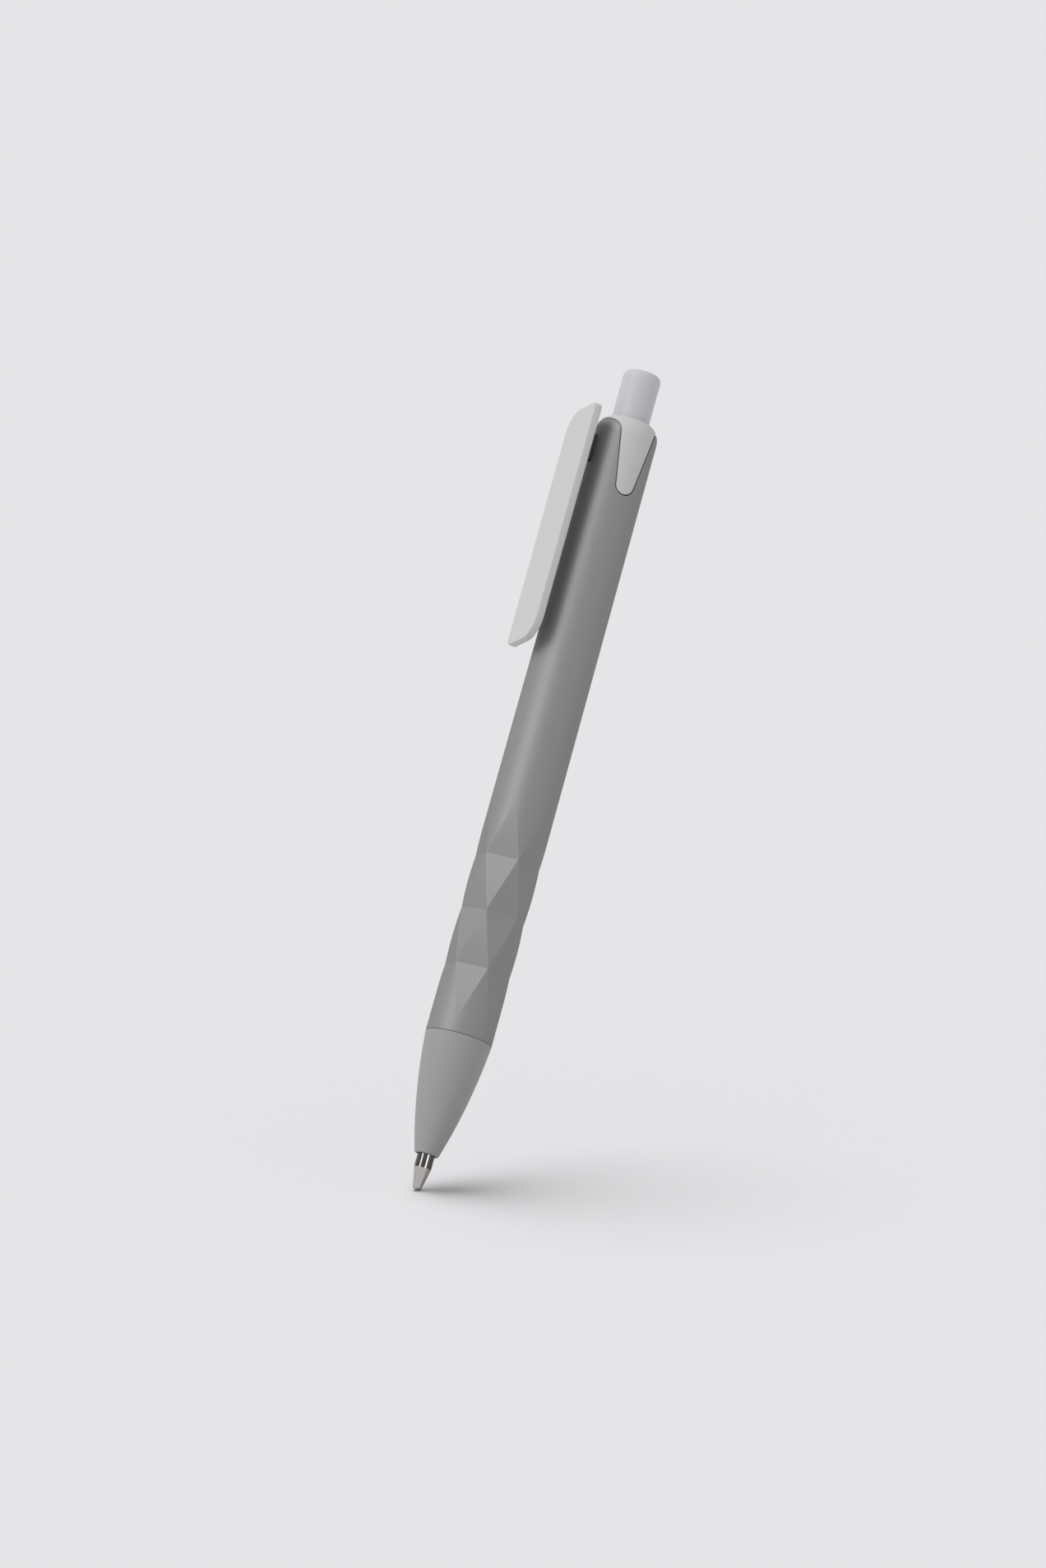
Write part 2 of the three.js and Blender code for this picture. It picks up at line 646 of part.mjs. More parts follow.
// Collar: dome with two tongues let into the barrel, and a sleeve inside the bore
function makeCollar() {
  const holeAngle = THREE.MathUtils.radToDeg(
    Math.acos((collarHoleRadius - domeCentreRadius) / DOME_RADIUS));
  const edge = PARTING_EDGE;
  const lowZ = domeBaseZ - TONGUE_DROP - TONGUE_TIP_RADIUS;
  const shell = toSolid(revolveRing([
    [tongueInnerRadius, lowZ],
    [barrelRadius(lowZ), lowZ],
    ...arc(domeCentreRadius, domeBaseZ, DOME_RADIUS, 0, holeAngle, 9),
    [stemRadius, collarTopZ],
    [stemRadius, collarBottomZ],
    [tongueInnerRadius, collarBottomZ],
  ], OUTER_SEGMENTS));
  const sleeve = toSolid(revolve([
    [0, collarBottomZ],
    [sleeveRadius, collarBottomZ],
    [sleeveRadius, domeBaseZ + LOBE_RISE],
    [0, domeBaseZ + LOBE_RISE],
  ], OUTER_SEGMENTS));
  const hole = toSolid(revolve([
    [0, lowZ],
    [collarHoleRadius, lowZ],
    [collarHoleRadius, collarTopZ - edge],
    [collarHoleRadius + 2 * edge, collarTopZ + edge],
    [0, collarTopZ + edge],
  ], OUTER_SEGMENTS));
  const halfNotch = CLIP_WEB_WIDTH / 2 + SNAP_CLEARANCE;
  const notch = toSolid(box(
    -halfNotch, -2 * barrelTopRadius, lowZ,
    halfNotch, -stemRadius, webTopZ + CLIP_BARB_LIP + SNAP_CLEARANCE,
  ));
  return fromSolid(shell.intersect(tonguePrism(0)).add(sleeve).subtract(hole).subtract(notch));
}

// Guide sleeve: eight channels between ribs; four are deep enough for the rotor's fins,
// and the ribs' lower ends form the ring of slanted stops that the fins climb
function makeGuideSleeve() {
  const sawShare = 0.9;
  const ribs = toSolid(toothedRing(
    ribInnerRadius, deepFloorRadius + SLEEVE_WALL / 2, ribTopZ, ribLowZ + CAM_TOOTH_HEIGHT,
    CAM_TEETH, [[0, 0], [sawShare, 1]].map(([s, h]) => [s, h * CAM_TOOTH_HEIGHT]), true,
  ));
  const wall = toSolid(revolveRing([
    [deepFloorRadius, sleeveBottomZ],
    [sleeveRadius, sleeveBottomZ],
    [sleeveRadius, ribTopZ],
    [deepFloorRadius, ribTopZ],
  ], INNER_SEGMENTS));
  const channel = (floorRadius) => {
    const half = FIN_WIDTH / 2 + CHANNEL_SIDE_PLAY;
    const out = toSolid(box(-half, 0, sleeveBottomZ - SEAT_GAP, half, barrelTopRadius,
      ribTopZ + SEAT_GAP));
    const round = toSolid(revolve([
      [0, sleeveBottomZ - SEAT_GAP],
      [floorRadius, sleeveBottomZ - SEAT_GAP],
      [floorRadius, ribTopZ + SEAT_GAP],
      [0, ribTopZ + SEAT_GAP],
    ], INNER_SEGMENTS)).rotate([0, 0, HALF_STEP]);
    return out.intersect(round);
  };
  const step = 360 / CAM_TEETH;
  return fromSolid(ribs
    .subtract(repeatAround(channel(deepFloorRadius + SLEEVE_WALL / 4), ROTOR_FINS))
    .subtract(repeatAround(channel(shallowFloorRadius), ROTOR_FINS, step))
    .add(wall));
}

// Cam rotor: hub with a ring of teeth, four fins with slanted tops, a stem and a pilot pin
function makeRotor() {
  const stemRadiusInTube = tubeBoreRadius - RUNNING_CLEARANCE;
  const pilotRadius = ROTOR_PILOT_DIAMETER / 2;
  const pilotTop = rotorRootZ + ROTOR_PILOT_LENGTH;
  const finLowZ = rotorBaseZ + FIN_FOOT;
  const hub = toSolid(revolve([
    [0, rotorBaseZ - ROTOR_STEM_LENGTH],
    [stemRadiusInTube, rotorBaseZ - ROTOR_STEM_LENGTH],
    [stemRadiusInTube, rotorBaseZ],
    [stemRadius, rotorBaseZ],
    [stemRadius, rotorRootZ - CAM_TOOTH_INSET],
    [0, rotorRootZ - CAM_TOOTH_INSET],
  ], INNER_SEGMENTS));
  // turned by half a step, so that no tooth's ridge meets an edge of the pin
  const pilot = toSolid(revolve([
    [0, finLowZ],
    [pilotRadius, finLowZ],
    [pilotRadius, pilotTop - pilotRadius / 2],
    [pilotRadius / 2, pilotTop],
    [0, pilotTop],
  ], INNER_SEGMENTS)).rotate([0, 0, HALF_STEP]);
  const teeth = toSolid(toothedRing(
    pilotRadius / 2, stemRadius - CAM_TOOTH_INSET, rotorRootZ - FIN_FOOT, rotorRootZ,
    CAM_TEETH, [[0, 0], [0.5, CAM_TOOTH_HEIGHT]], false,
  ));
  const slant = (CAM_TOOTH_HEIGHT * FIN_WIDTH) / (Math.PI * stemRadius / (CAM_TEETH / 2));
  const outline = new THREE.Shape();
  outline.moveTo(-FIN_WIDTH / 2, finLowZ);
  outline.lineTo(FIN_WIDTH / 2, finLowZ);
  outline.lineTo(FIN_WIDTH / 2, finTopZ - slant);
  outline.lineTo(-FIN_WIDTH / 2, finTopZ);
  const depth = finRadius;
  const fin = new THREE.ExtrudeGeometry(outline, { depth, bevelEnabled: false });
  // the outline stands in the X-Z plane and runs outwards along -Y
  fin.rotateX(Math.PI / 2).translate(0, -stemBoreRadius, 0);
  const trim = toSolid(revolve([
    [0, finLowZ - SEAT_GAP],
    [finRadius, finLowZ - SEAT_GAP],
    [finRadius, rotorRootZ + SEAT_GAP],
    [0, rotorRootZ + SEAT_GAP],
  ], INNER_SEGMENTS));
  const fins = repeatAround(toSolid(fin), ROTOR_FINS).intersect(trim);
  return fromSolid(hub.add(teeth).add(fins).add(pilot));
}

// Push button: shown head, stop flange, tube with guide keys and a crown of teeth
function makeButton() {
  const stepZ = collarTopZ - BUTTON_STEP_DEPTH;
  const headEdge = arc(buttonRadius - BUTTON_EDGE, buttonTopZ - BUTTON_EDGE, BUTTON_EDGE, 0, 90, 6);
  const tubeLowZ = crownRootZ + CAM_TOOTH_INSET;
  const body = toSolid(revolve([
    [0, tubeLowZ],
    [stemRadius, tubeLowZ],
    [stemRadius, flangeBottomZ],
    [flangeRadius, flangeBottomZ],
    [flangeRadius, flangeTopZ],
    [stemRadius, flangeTopZ],
    [stemRadius, stepZ - (buttonRadius - stemRadius)],
    [buttonRadius, stepZ],
    ...headEdge,
    [0, buttonTopZ],
  ], INNER_SEGMENTS));
  const bore = toSolid(revolve([
    [0, crownTipZ - SEAT_GAP],
    [stemBoreRadius, crownTipZ - SEAT_GAP],
    [stemBoreRadius, buttonTopZ - BUTTON_TOP_WALL],
    [0, buttonTopZ - BUTTON_TOP_WALL],
  ], INNER_SEGMENTS)).rotate([0, 0, HALF_STEP]);
  const crown = toSolid(toothedRing(
    stemBoreRadius / 2, stemRadius - CAM_TOOTH_INSET, tubeLowZ + KEY_STAND, crownRootZ,
    CAM_TEETH, [[0, 0], [0.5, CAM_TOOTH_HEIGHT]], true,
  ));
  const keyLowZ = crownRootZ + SEAT_GAP;
  const key = toSolid(box(
    -FIN_WIDTH / 2, stemRadius - KEY_STAND, keyLowZ,
    FIN_WIDTH / 2, keyRadius, keyLowZ + KEY_LENGTH,
  ));
  const keyTrim = toSolid(revolve([
    [0, keyLowZ - SEAT_GAP],
    [keyRadius, keyLowZ - SEAT_GAP],
    [keyRadius, keyLowZ + KEY_LENGTH + SEAT_GAP],
    [0, keyLowZ + KEY_LENGTH + SEAT_GAP],
  ], INNER_SEGMENTS));
  const keys = repeatAround(key, CAM_TEETH).intersect(keyTrim);
  return fromSolid(body.add(crown).add(keys).subtract(bore));
}

// Clip plate outline, seen from outside with +X to the right: each end slants up to the right,
// and has a large corner at one side and a small one at the other
function clipOutline() {
  const half = CLIP_WIDTH / 2;
  const [large, small] = [CLIP_LARGE_CORNER, CLIP_SMALL_CORNER];
  const slant = THREE.MathUtils.degToRad(CLIP_END_SLANT);
  // both corners of an end touch its slanted edge
  const acrossCentres = CLIP_WIDTH - large - small;
  const rise = (large - small + Math.sin(slant) * acrossCentres) / Math.cos(slant);
  const lowZ = clipBottomZ + small;
  const highZ = clipTopZ - small;
  const down = -Math.PI / 2 + slant;
  const up = Math.PI / 2 + slant;
  const shape = new THREE.Shape();
  shape.absarc(half - large, lowZ + rise, large, down, 0, false);
  shape.absarc(half - small, highZ, small, 0, up, false);
  shape.absarc(-half + large, highZ - rise, large, up, Math.PI, false);
  shape.absarc(-half + small, lowZ, small, Math.PI, down + 2 * Math.PI, false);
  return shape;
}

// Pocket clip: bevelled plate, web through the barrel's window with a barb, and a grip nub
function makeClip() {
  const innerY = -(barrelRadius(webMiddleZ) + CLIP_GAP);
  const bevel = CLIP_EDGE_BEVEL;
  const plate = new THREE.ExtrudeGeometry(clipOutline(), {
    depth: CLIP_THICKNESS - 2 * bevel,
    bevelEnabled: true,
    bevelThickness: bevel,
    bevelSize: bevel,
    bevelOffset: -bevel,
    bevelSegments: 2,
    curveSegments: 8,
  });
  plate.rotateX(Math.PI / 2).translate(0, innerY - bevel, 0);
  const webHalf = CLIP_WEB_WIDTH / 2;
  const boreFlatY = -Math.sqrt(boreRadius ** 2 - webHalf ** 2);
  const barbOuterY = boreFlatY + CLIP_BARB_GAP;
  const barbInnerY = barbOuterY + CLIP_BARB_THICKNESS;
  const web = box(-webHalf, innerY - CLIP_THICKNESS / 2, webBottomZ, webHalf, barbInnerY, webTopZ);
  const barb = box(
    -webHalf, barbOuterY, webBottomZ - CLIP_BARB_LIP,
    webHalf, barbInnerY, webTopZ + CLIP_BARB_LIP,
  );
  const capRadius = (NUB_RADIUS ** 2 + NUB_HEIGHT ** 2) / (2 * NUB_HEIGHT);
  const baseAngle = THREE.MathUtils.radToDeg(Math.asin((capRadius - NUB_HEIGHT) / capRadius));
  const nub = revolve([
    [0, -CLIP_THICKNESS / 2],
    [NUB_RADIUS, -CLIP_THICKNESS / 2],
    ...arc(0, NUB_HEIGHT - capRadius, capRadius, baseAngle, 90, 6),
  ], SMALL_SEGMENTS / 2);
  nub.rotateX(-Math.PI / 2).translate(0, innerY, clipBottomZ + NUB_INSET);
  return fromSolid([web, barb, nub].reduce((all, part) => all.add(toSolid(part)), toSolid(plate)));
}

const GREY_PLASTIC = 0x8e8e90;
const PALE_PLASTIC = 0xc9c9cb;

addPiece('barrel', makeBarrel(), GREY_PLASTIC, 0.55, 0.1);
addPiece('nose_cone', makeNose(), GREY_PLASTIC, 0.5, 0);
addPiece('top_collar', makeCollar(), PALE_PLASTIC, 0.45, 0);
addPiece('pocket_clip', makeClip(), PALE_PLASTIC, 0.45, 0);
addPiece('push_button', makeButton(), PALE_PLASTIC, 0.4, 0);
addPiece('guide_sleeve', makeGuideSleeve(), 0xe2e2dc, 0.5, 0);
addPiece('cam_rotor', makeRotor(), 0xe8e6df, 0.4, 0);
addPiece('refill_tube', makeTube(), 0xdfe3e6, 0.35, 0);
addPiece('ink_column', makeInk(), 0x10131c, 0.3, 0);
addPiece('tip_body', makeTip(), 0xb9b2ad, 0.22, 1);
addPiece('writing_ball', makeBall(), 0x9c9fa3, 0.1, 1);
addPiece('return_spring', makeSpring(), 0xb4b6b8, 0.25, 1);

export default pen;
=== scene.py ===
"""Looks of a retractable ballpoint pen: its modelled pieces, finishes and studio."""

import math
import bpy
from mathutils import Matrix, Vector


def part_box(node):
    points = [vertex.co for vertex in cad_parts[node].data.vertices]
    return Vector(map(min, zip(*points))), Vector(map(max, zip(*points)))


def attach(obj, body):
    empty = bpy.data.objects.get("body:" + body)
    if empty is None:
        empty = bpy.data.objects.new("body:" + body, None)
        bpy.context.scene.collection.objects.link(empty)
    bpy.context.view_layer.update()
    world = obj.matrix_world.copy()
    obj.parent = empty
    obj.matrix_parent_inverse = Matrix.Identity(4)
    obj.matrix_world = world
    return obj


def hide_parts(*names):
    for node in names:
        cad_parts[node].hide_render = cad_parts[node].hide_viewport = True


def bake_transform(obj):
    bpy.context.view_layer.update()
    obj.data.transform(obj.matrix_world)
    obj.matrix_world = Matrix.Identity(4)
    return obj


bl_info = {
    "name": "Retractable Ballpoint Pen",
    "version": (1, 0, 0),
    "blender": (4, 5, 0),
    "location": "View3D > Sidebar > Pen",
    "description": "Builds the pen's casing, clip, button, writing tip, finishes and studio",
    "category": "Add Mesh",
}

import bmesh
import bpy
from bpy.props import FloatProperty, FloatVectorProperty, IntProperty, PointerProperty
from mathutils import Matrix, Vector

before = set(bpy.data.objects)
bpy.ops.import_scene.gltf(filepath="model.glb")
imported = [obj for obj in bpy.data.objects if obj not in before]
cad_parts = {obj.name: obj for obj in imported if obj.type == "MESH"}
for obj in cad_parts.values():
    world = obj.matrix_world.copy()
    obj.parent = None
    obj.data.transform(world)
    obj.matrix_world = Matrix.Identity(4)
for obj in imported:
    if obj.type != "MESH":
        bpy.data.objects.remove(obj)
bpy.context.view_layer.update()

MM = 0.001
MERGE_DISTANCE = 1e-4  # millimetres


def node_box(node):
    """Lowest and highest corner of a CAD node in millimetres."""
    low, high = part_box(node)
    return Vector(low) / MM, Vector(high) / MM


BARREL_LOW = node_box("barrel")[0]
NOSE_LOW, NOSE_HIGH = node_box("nose_cone")
CLIP_LOW, CLIP_HIGH = node_box("pocket_clip")
BUTTON_LOW, BUTTON_HIGH = node_box("push_button")
TIP_LOW, TIP_HIGH = node_box("tip_body")
BALL_LOW, BALL_HIGH = node_box("writing_ball")
SPRING_LOW, SPRING_HIGH = node_box("return_spring")


def size(name, description, default, **more):
    """A number, in millimetres if it is a length."""
    return FloatProperty(name=name, description=description, default=default, **more)


def angle_of(name, description, degrees):
    return size(name, description, math.radians(degrees), subtype="ANGLE")


def whole(name, description, default, least=3):
    return IntProperty(name=name, description=description, default=default, min=least)


def lamp_level(name, description, default):
    """Light that a lamp gives a surface that faces it, as a share of white."""
    return size(name, description, default)


def colour(name, description, default):
    return FloatVectorProperty(
        name=name, description=description, default=default, subtype="COLOR",
        size=3, min=0.0, max=1.0,
    )


class PenCasingSettings(bpy.types.PropertyGroup):
    """Sizes of the barrel, nose cone and collar, in millimetres."""

    grip_radius: size("Grip Radius", "Radius at the parting line", NOSE_HIGH.x)
    top_radius: size("Top Radius", "Barrel radius under the dome", 5.35)
    parting_height: size("Parting Height", "Height of the parting line", BARREL_LOW.z - 0.1)
    parting_gap: size("Parting Gap", "Gap at the parting line", 0.05)
    parting_edge: size("Parting Edge", "Rounding beside the parting line", 0.09)
    facets_around: whole("Facets Around", "Corners in one row of facets", 6)
    facet_rows: whole("Facet Rows", "Rows of facets along the grip", 4, least=2)
    facet_pitch: size("Facet Pitch", "Height of one row of facets", 9.6)
    facet_start: size("Facet Start", "First corners over the parting line", 2.25)
    facet_turn: angle_of("Facet Turn", "Turn of the second row's corners from the clip", 23.5)
    lower_bore: size("Lower Bore", "Bore radius in the grip", 3.63)
    upper_bore: size("Upper Bore", "Bore radius over the ledge", 4.25)
    ledge_height: size("Ledge Height", "Where the bore widens", 95.5)
    dome_radius: size("Dome Radius", "Radius of the domed top's outline", 3.3)
    hole_radius: size("Hole Radius", "Radius of the collar's hole", 3.32)
    hole_edge: size("Hole Edge", "Rounding of the collar's hole", 0.32)
    sleeve_radius: size("Sleeve Radius", "Radius of the collar's sleeve", 4.12)
    tongue_inner: size("Tongue Inner Radius", "Inner radius of the collar's tongues", 3.9)
    tongue_drop: size("Tongue Drop", "Tongue tip under the dome's base", 10.45)
    tongue_tip: size("Tongue Tip Radius", "Radius of the tongue's round tip", 1.6)
    tongue_flare: angle_of("Tongue Flare", "Slope of the tongue's flanks", 8.5)
    lobe_rise: size("Lobe Rise", "Barrel lobes over the dome's base", 2.15)
    lobe_corner: size("Lobe Corner", "Corner radius of the barrel's lobes", 2.2)
    seam: size("Seam", "Fine gap round each tongue", 0.21)
    collar_bottom: size("Collar Bottom", "Lower end of the collar's sleeve", 125.75)
    collar_height: size("Collar Height", "Top of the collar over its sleeve's lower end", 10.5)
    straight_drop: size("Straight Drop", "Barrel's last straight section under the dome", 4.0)


class PenNoseSettings(bpy.types.PropertyGroup):
    """Sizes of the nose cone, in millimetres."""

    lip_radius: size("Lip Radius", "Outer radius at the mouth", 2.14)
    lip_fillet: size("Lip Fillet", "Rounding of the mouth", 0.42)
    front_slope: size("Front Slope", "Radius gained per length at the mouth", 0.29)
    back_slope: size("Back Slope", "Radius gained per length at the parting line", 0.08)
    mouth_radius: size("Mouth Radius", "Bore at the mouth", 1.6)
    chamber_radius: size("Chamber Radius", "Bore round the spring", 2.35)
    seat_height: size("Seat Height", "Height of the spring's seat", 11.0)
    spigot_radius: size("Spigot Radius", "Radius of the part inside the barrel", 3.5)
    spigot_chamfer: size("Spigot Chamfer", "Chamfer at the spigot's end", 0.4)
    mouth_chamfer: size("Mouth Chamfer", "Chamfer of the bore at the mouth", 0.08)


class PenClipSettings(bpy.types.PropertyGroup):
    """Sizes of the pocket clip, in millimetres."""

    thickness: size("Thickness", "Thickness of the clip's plate", 1.35)
    large_corner: size("Large Corner", "Radius of the two large corners", 4.3)
    small_corner: size("Small Corner", "Radius of the two small corners", 0.9)
    end_slant: angle_of("End Slant", "Rise of both ends towards +X", 9.0)
    edge: size("Edge", "Rounding of the plate's edges", 0.14)
    web_low: size("Web Low", "Lower end of the web", CLIP_HIGH.z - 8.7)
    web_high: size("Web High", "Upper end of the web", CLIP_HIGH.z - 4.3)
    web_width: size("Web Width", "Width of the web", 1.1)
    web_sink: size("Web Sink", "Depth of the web's end inside the plate", 0.2)
    barb_lip: size("Barb Lip", "Barb over each end of the web", 0.4)
    barb_thickness: size("Barb Thickness", "Thickness of the barb", 0.4)
    barb_play: size("Barb Play", "Space between the barb and the barrel's bore", 0.25)
    notch_play: size("Notch Play", "Play round the barb in the collar", 0.3)
    nub_height: size("Nub Height", "Height of the gripping nub", 1.2)
    nub_radius: size("Nub Radius", "Radius of the nub's foot", 1.5)
    nub_inset: size("Nub Inset", "Nub over the clip's lower end", 4.0)
    slot_side: size("Slot Side", "Play beside the web in the barrel's slot", 0.1)
    slot_end: size("Slot End", "Play under the web in the barrel's slot", 0.3)


class PenButtonSettings(bpy.types.PropertyGroup):
    """Sizes of the push button, in millimetres."""

    radius: size("Radius", "Radius of the shown part", 3.22)
    edge: size("Edge", "Rounding of the top edge", 1.3)
    step_height: size("Step Height", "Where the shown part ends", 128.65)
    tube_radius: size("Tube Radius", "Radius of the lower tube", 2.45)
    bore_radius: size("Bore Radius", "Bore of the lower tube", 1.6)
    flange_low: size("Flange Low", "Lower face of the stop flange", 117.55)
    flange_high: size("Flange High", "Upper face of the stop flange", 119.05)
    head: size("Head", "Thickness of the closed top", 2.0)
    tooth_height: size("Tooth Height", "Height of the crown's teeth", 1.0)
    tooth_sink: size("Tooth Sink", "Height of a tooth's root inside the tube", 0.3)
    teeth: whole("Teeth", "Teeth of the crown", 8)
    key_width: size("Key Width", "Width of a guide key", 1.0)
    key_length: size("Key Length", "Length of a guide key", 5.0)
    key_stand: size("Key Stand", "Height of a key over the tube", 0.3)
    key_rise: size("Key Rise", "Lower end of a key over the teeth's roots", 0.2)


class PenTipSettings(bpy.types.PropertyGroup):
    """Sizes of the metal tip and the return spring, in millimetres."""

    radius: size("Radius", "Radius of the tip's cylinder", TIP_HIGH.x)
    cone_length: size("Cone Length", "Length of the tip's cone", 3.65)
    nose_radius: size("Nose Radius", "Cone radius at the ball", 0.78)
    body_length: size("Body Length", "Height of the cylinder's upper end", 9.8)
    spigot_radius: size("Spigot Radius", "Radius of the part in the tube", 0.95)
    channel_radius: size("Channel Radius", "Bore for the ink", 0.3)
    ball_play: size("Ball Play", "Space round the ball", 0.05)
    lip_wall: size("Lip Wall", "Thickness of the lip's edge over the ball", 0.064)
    end_round: size("End Round", "Rounding of the cone's end", 0.34)
    wire: size("Wire", "Diameter of the spring's wire", 0.4)
    turns: whole("Turns", "Turns of the spring", 14)


class PenFinishSettings(bpy.types.PropertyGroup):
    """Colours of the finishes."""

    barrel: colour("Barrel", "Satin grey of the barrel", (0.285, 0.285, 0.289))
    nose: colour("Nose", "Matte grey of the nose cone", (0.332, 0.334, 0.338))
    light: colour("Light Trim", "Light grey of the collar and clip", (0.585, 0.585, 0.59))
    button: colour("Button", "Light grey of the push button", (0.575, 0.575, 0.595))
    # painted reflection: the cylinder's dark colour stands for dark reflections on metal that is
    # the same as the cone's
    cylinder: colour("Tip Cylinder", "Dark plating of the tip's cylinder", (0.082, 0.079, 0.076))
    cone: colour("Tip Cone", "Pale metal of the tip's cone", (0.50, 0.475, 0.455))


class PenStudioSettings(bpy.types.PropertyGroup):
    """Camera and light."""

    azimuth: angle_of("Azimuth", "Camera's side, counted from the clip", 67.0)
    elevation: angle_of("Elevation", "Camera's height over the pen's cross-section", -11.0)
    lean: angle_of("Lean", "Lean of the pen in the picture", 15.55)
    floor_angle: angle_of("Floor Angle", "Camera's height over the floor", 12.0)
    distance: size("Distance", "Camera's distance from the pen, in metres", 2.4, unit="LENGTH")
    picture_height: size("Picture Height", "Height of the picture at the pen", 261.3)
    centre_right: size("Centre Right", "Picture's centre to the right of the ball", 17.77)
    centre_up: size("Centre Up", "Picture's centre over the ball", 67.74)
    ambient: lamp_level("Ambient", "Light from all round", 0.43)
    key: lamp_level("Key", "Light from the clip's side", 0.46)
    fill: lamp_level("Fill", "Light from the right", 0.075)
    back: lamp_level("Back", "Light from behind the clip", 0.035)
    tip: lamp_level("Tip", "Light on the metal tip", 0.56)
    top: lamp_level("Top", "Light from above on the pen", 0.12)
    floor: lamp_level("Floor", "Light from above on the floor", 0.623)
    backdrop: colour("Backdrop", "Colour of floor and background", (0.783, 0.783, 0.799))


def settings(name):
    return getattr(bpy.context.scene, name)


# Meshes


def arc(centre_r, centre_z, radius, start, end, steps):
    """Points on an arc in a profile, angles in degrees from the outward direction."""
    points = []
    for i in range(steps + 1):
        angle = math.radians(start + (end - start) * i / steps)
        points.append((centre_r + radius * math.cos(angle), centre_z + radius * math.sin(angle)))
    return points


def around(radius, degrees, z):
    """A point round the pen, its angle counted from the clip's side towards +X."""
    angle = math.radians(degrees - 90.0)
    return Vector((radius * math.cos(angle), radius * math.sin(angle), z))


def add_object(name, data):
    made = bpy.data.objects.new(name, data)
    bpy.context.scene.collection.objects.link(made)
    return made


def use_up(made):
    """Removes an object and its mesh."""
    mesh = made.data
    bpy.data.objects.remove(made)
    bpy.data.meshes.remove(mesh)


def to_object(name, bm):
    """A new object from a mesh in millimetres, with its faces outwards."""
    bmesh.ops.remove_doubles(bm, verts=bm.verts, dist=MERGE_DISTANCE)
    bmesh.ops.dissolve_degenerate(bm, edges=bm.edges, dist=MERGE_DISTANCE)
    bmesh.ops.recalc_face_normals(bm, faces=bm.faces)
    bmesh.ops.scale(bm, vec=Vector((MM, MM, MM)), verts=bm.verts)
    mesh = bpy.data.meshes.new(name)
    bm.to_mesh(mesh)
    bm.free()
    return add_object(name, mesh)


def bridge(bm, lower, upper):
    """Faces between two rings with the same number of points."""
    count = len(lower)
    for i in range(count):
        j = (i + 1) % count
        bm.faces.new((lower[i], lower[j], upper[j], upper[i]))


def turned(name, profile, segments, ring=False):
    """A profile of (radius, height) pairs turned round Z; a ring's profile closes on itself."""
    bm = bmesh.new()
    rings = []
    for radius, z in profile:
        if radius < MERGE_DISTANCE:
            rings.append([bm.verts.new((0.0, 0.0, z))])
        else:
            rings.append([
                bm.verts.new(around(radius, 360.0 * i / segments, z)) for i in range(segments)])
    pairs = list(zip(rings, rings[1:]))
    if ring:
        pairs.append((rings[-1], rings[0]))
    for lower, upper in pairs:
        if len(lower) == 1 or len(upper) == 1:
            pole, rim = (lower, upper) if len(lower) == 1 else (upper, lower)
            for i in range(segments):
                if len(rim) > 1:
                    bm.faces.new((rim[i], rim[(i + 1) % segments], pole[0]))
        else:
            bridge(bm, lower, upper)
    return to_object(name, bm)


def boxed(name, low, high):
    """A block between two corners, for cuts and small hidden features."""
    bm = bmesh.new()
    bmesh.ops.create_cube(bm, size=1.0)
    low, high = Vector(low), Vector(high)
    for vert in bm.verts:
        vert.co = Vector(low[i] if vert.co[i] < 0.0 else high[i] for i in range(3))
    return to_object(name, bm)


def prism(name, outline, low, high, place):
    """A closed outline of (u, v) pairs run from low to high.

    place turns u, v and the height w into a point.
    """
    bm = bmesh.new()
    ends = [[bm.verts.new(place(u, v, w)) for u, v in outline] for w in (low, high)]
    bridge(bm, *ends)
    bm.faces.new(ends[0])
    bm.faces.new(ends[1])
    return to_object(name, bm)


def plain_mesh(made):
    """Replaces the object's mesh by its evaluated one and removes its modifiers."""
    depsgraph = bpy.context.evaluated_depsgraph_get()
    mesh = bpy.data.meshes.new_from_object(made.evaluated_get(depsgraph), depsgraph=depsgraph)
    old = made.data
    made.modifiers.clear()
    made.data = mesh
    mesh.name = made.name
    bpy.data.meshes.remove(old)
    return made


def combined(made, other, operation):
    """The object cut by, joined to, or kept inside another one, which is used up."""
    modifier = made.modifiers.new(operation, "BOOLEAN")
    modifier.operation = operation
    modifier.solver = "EXACT"
    modifier.object = other
    plain_mesh(made)
    use_up(other)
    return made


def joined(made, other):
    """The object with another one's faces added, which is used up."""
    bm = bmesh.new()
    bm.from_mesh(made.data)
    bm.from_mesh(other.data)
    bm.to_mesh(made.data)
    bm.free()
    use_up(other)
    return made


def shaded(made, sharp_degrees):
    """Smooth faces with edges kept crisp from that angle on."""
    mesh = made.data
    mesh.polygons.foreach_set("use_smooth", [True] * len(mesh.polygons))
    mesh.set_sharp_from_angle(angle=math.radians(sharp_degrees))
    mesh.update()
    return made


def dressed(made, body, slot, material, *nodes):
    """Gives a finished piece its material and body and hides the CAD nodes that it replaces; a
    blended one has no body. The slot is not used.
    """
    made.data.materials.clear()
    made.data.materials.append(material)
    if body:
        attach(made, body)
    if nodes:
        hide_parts(*nodes)
    return made


# Node trees


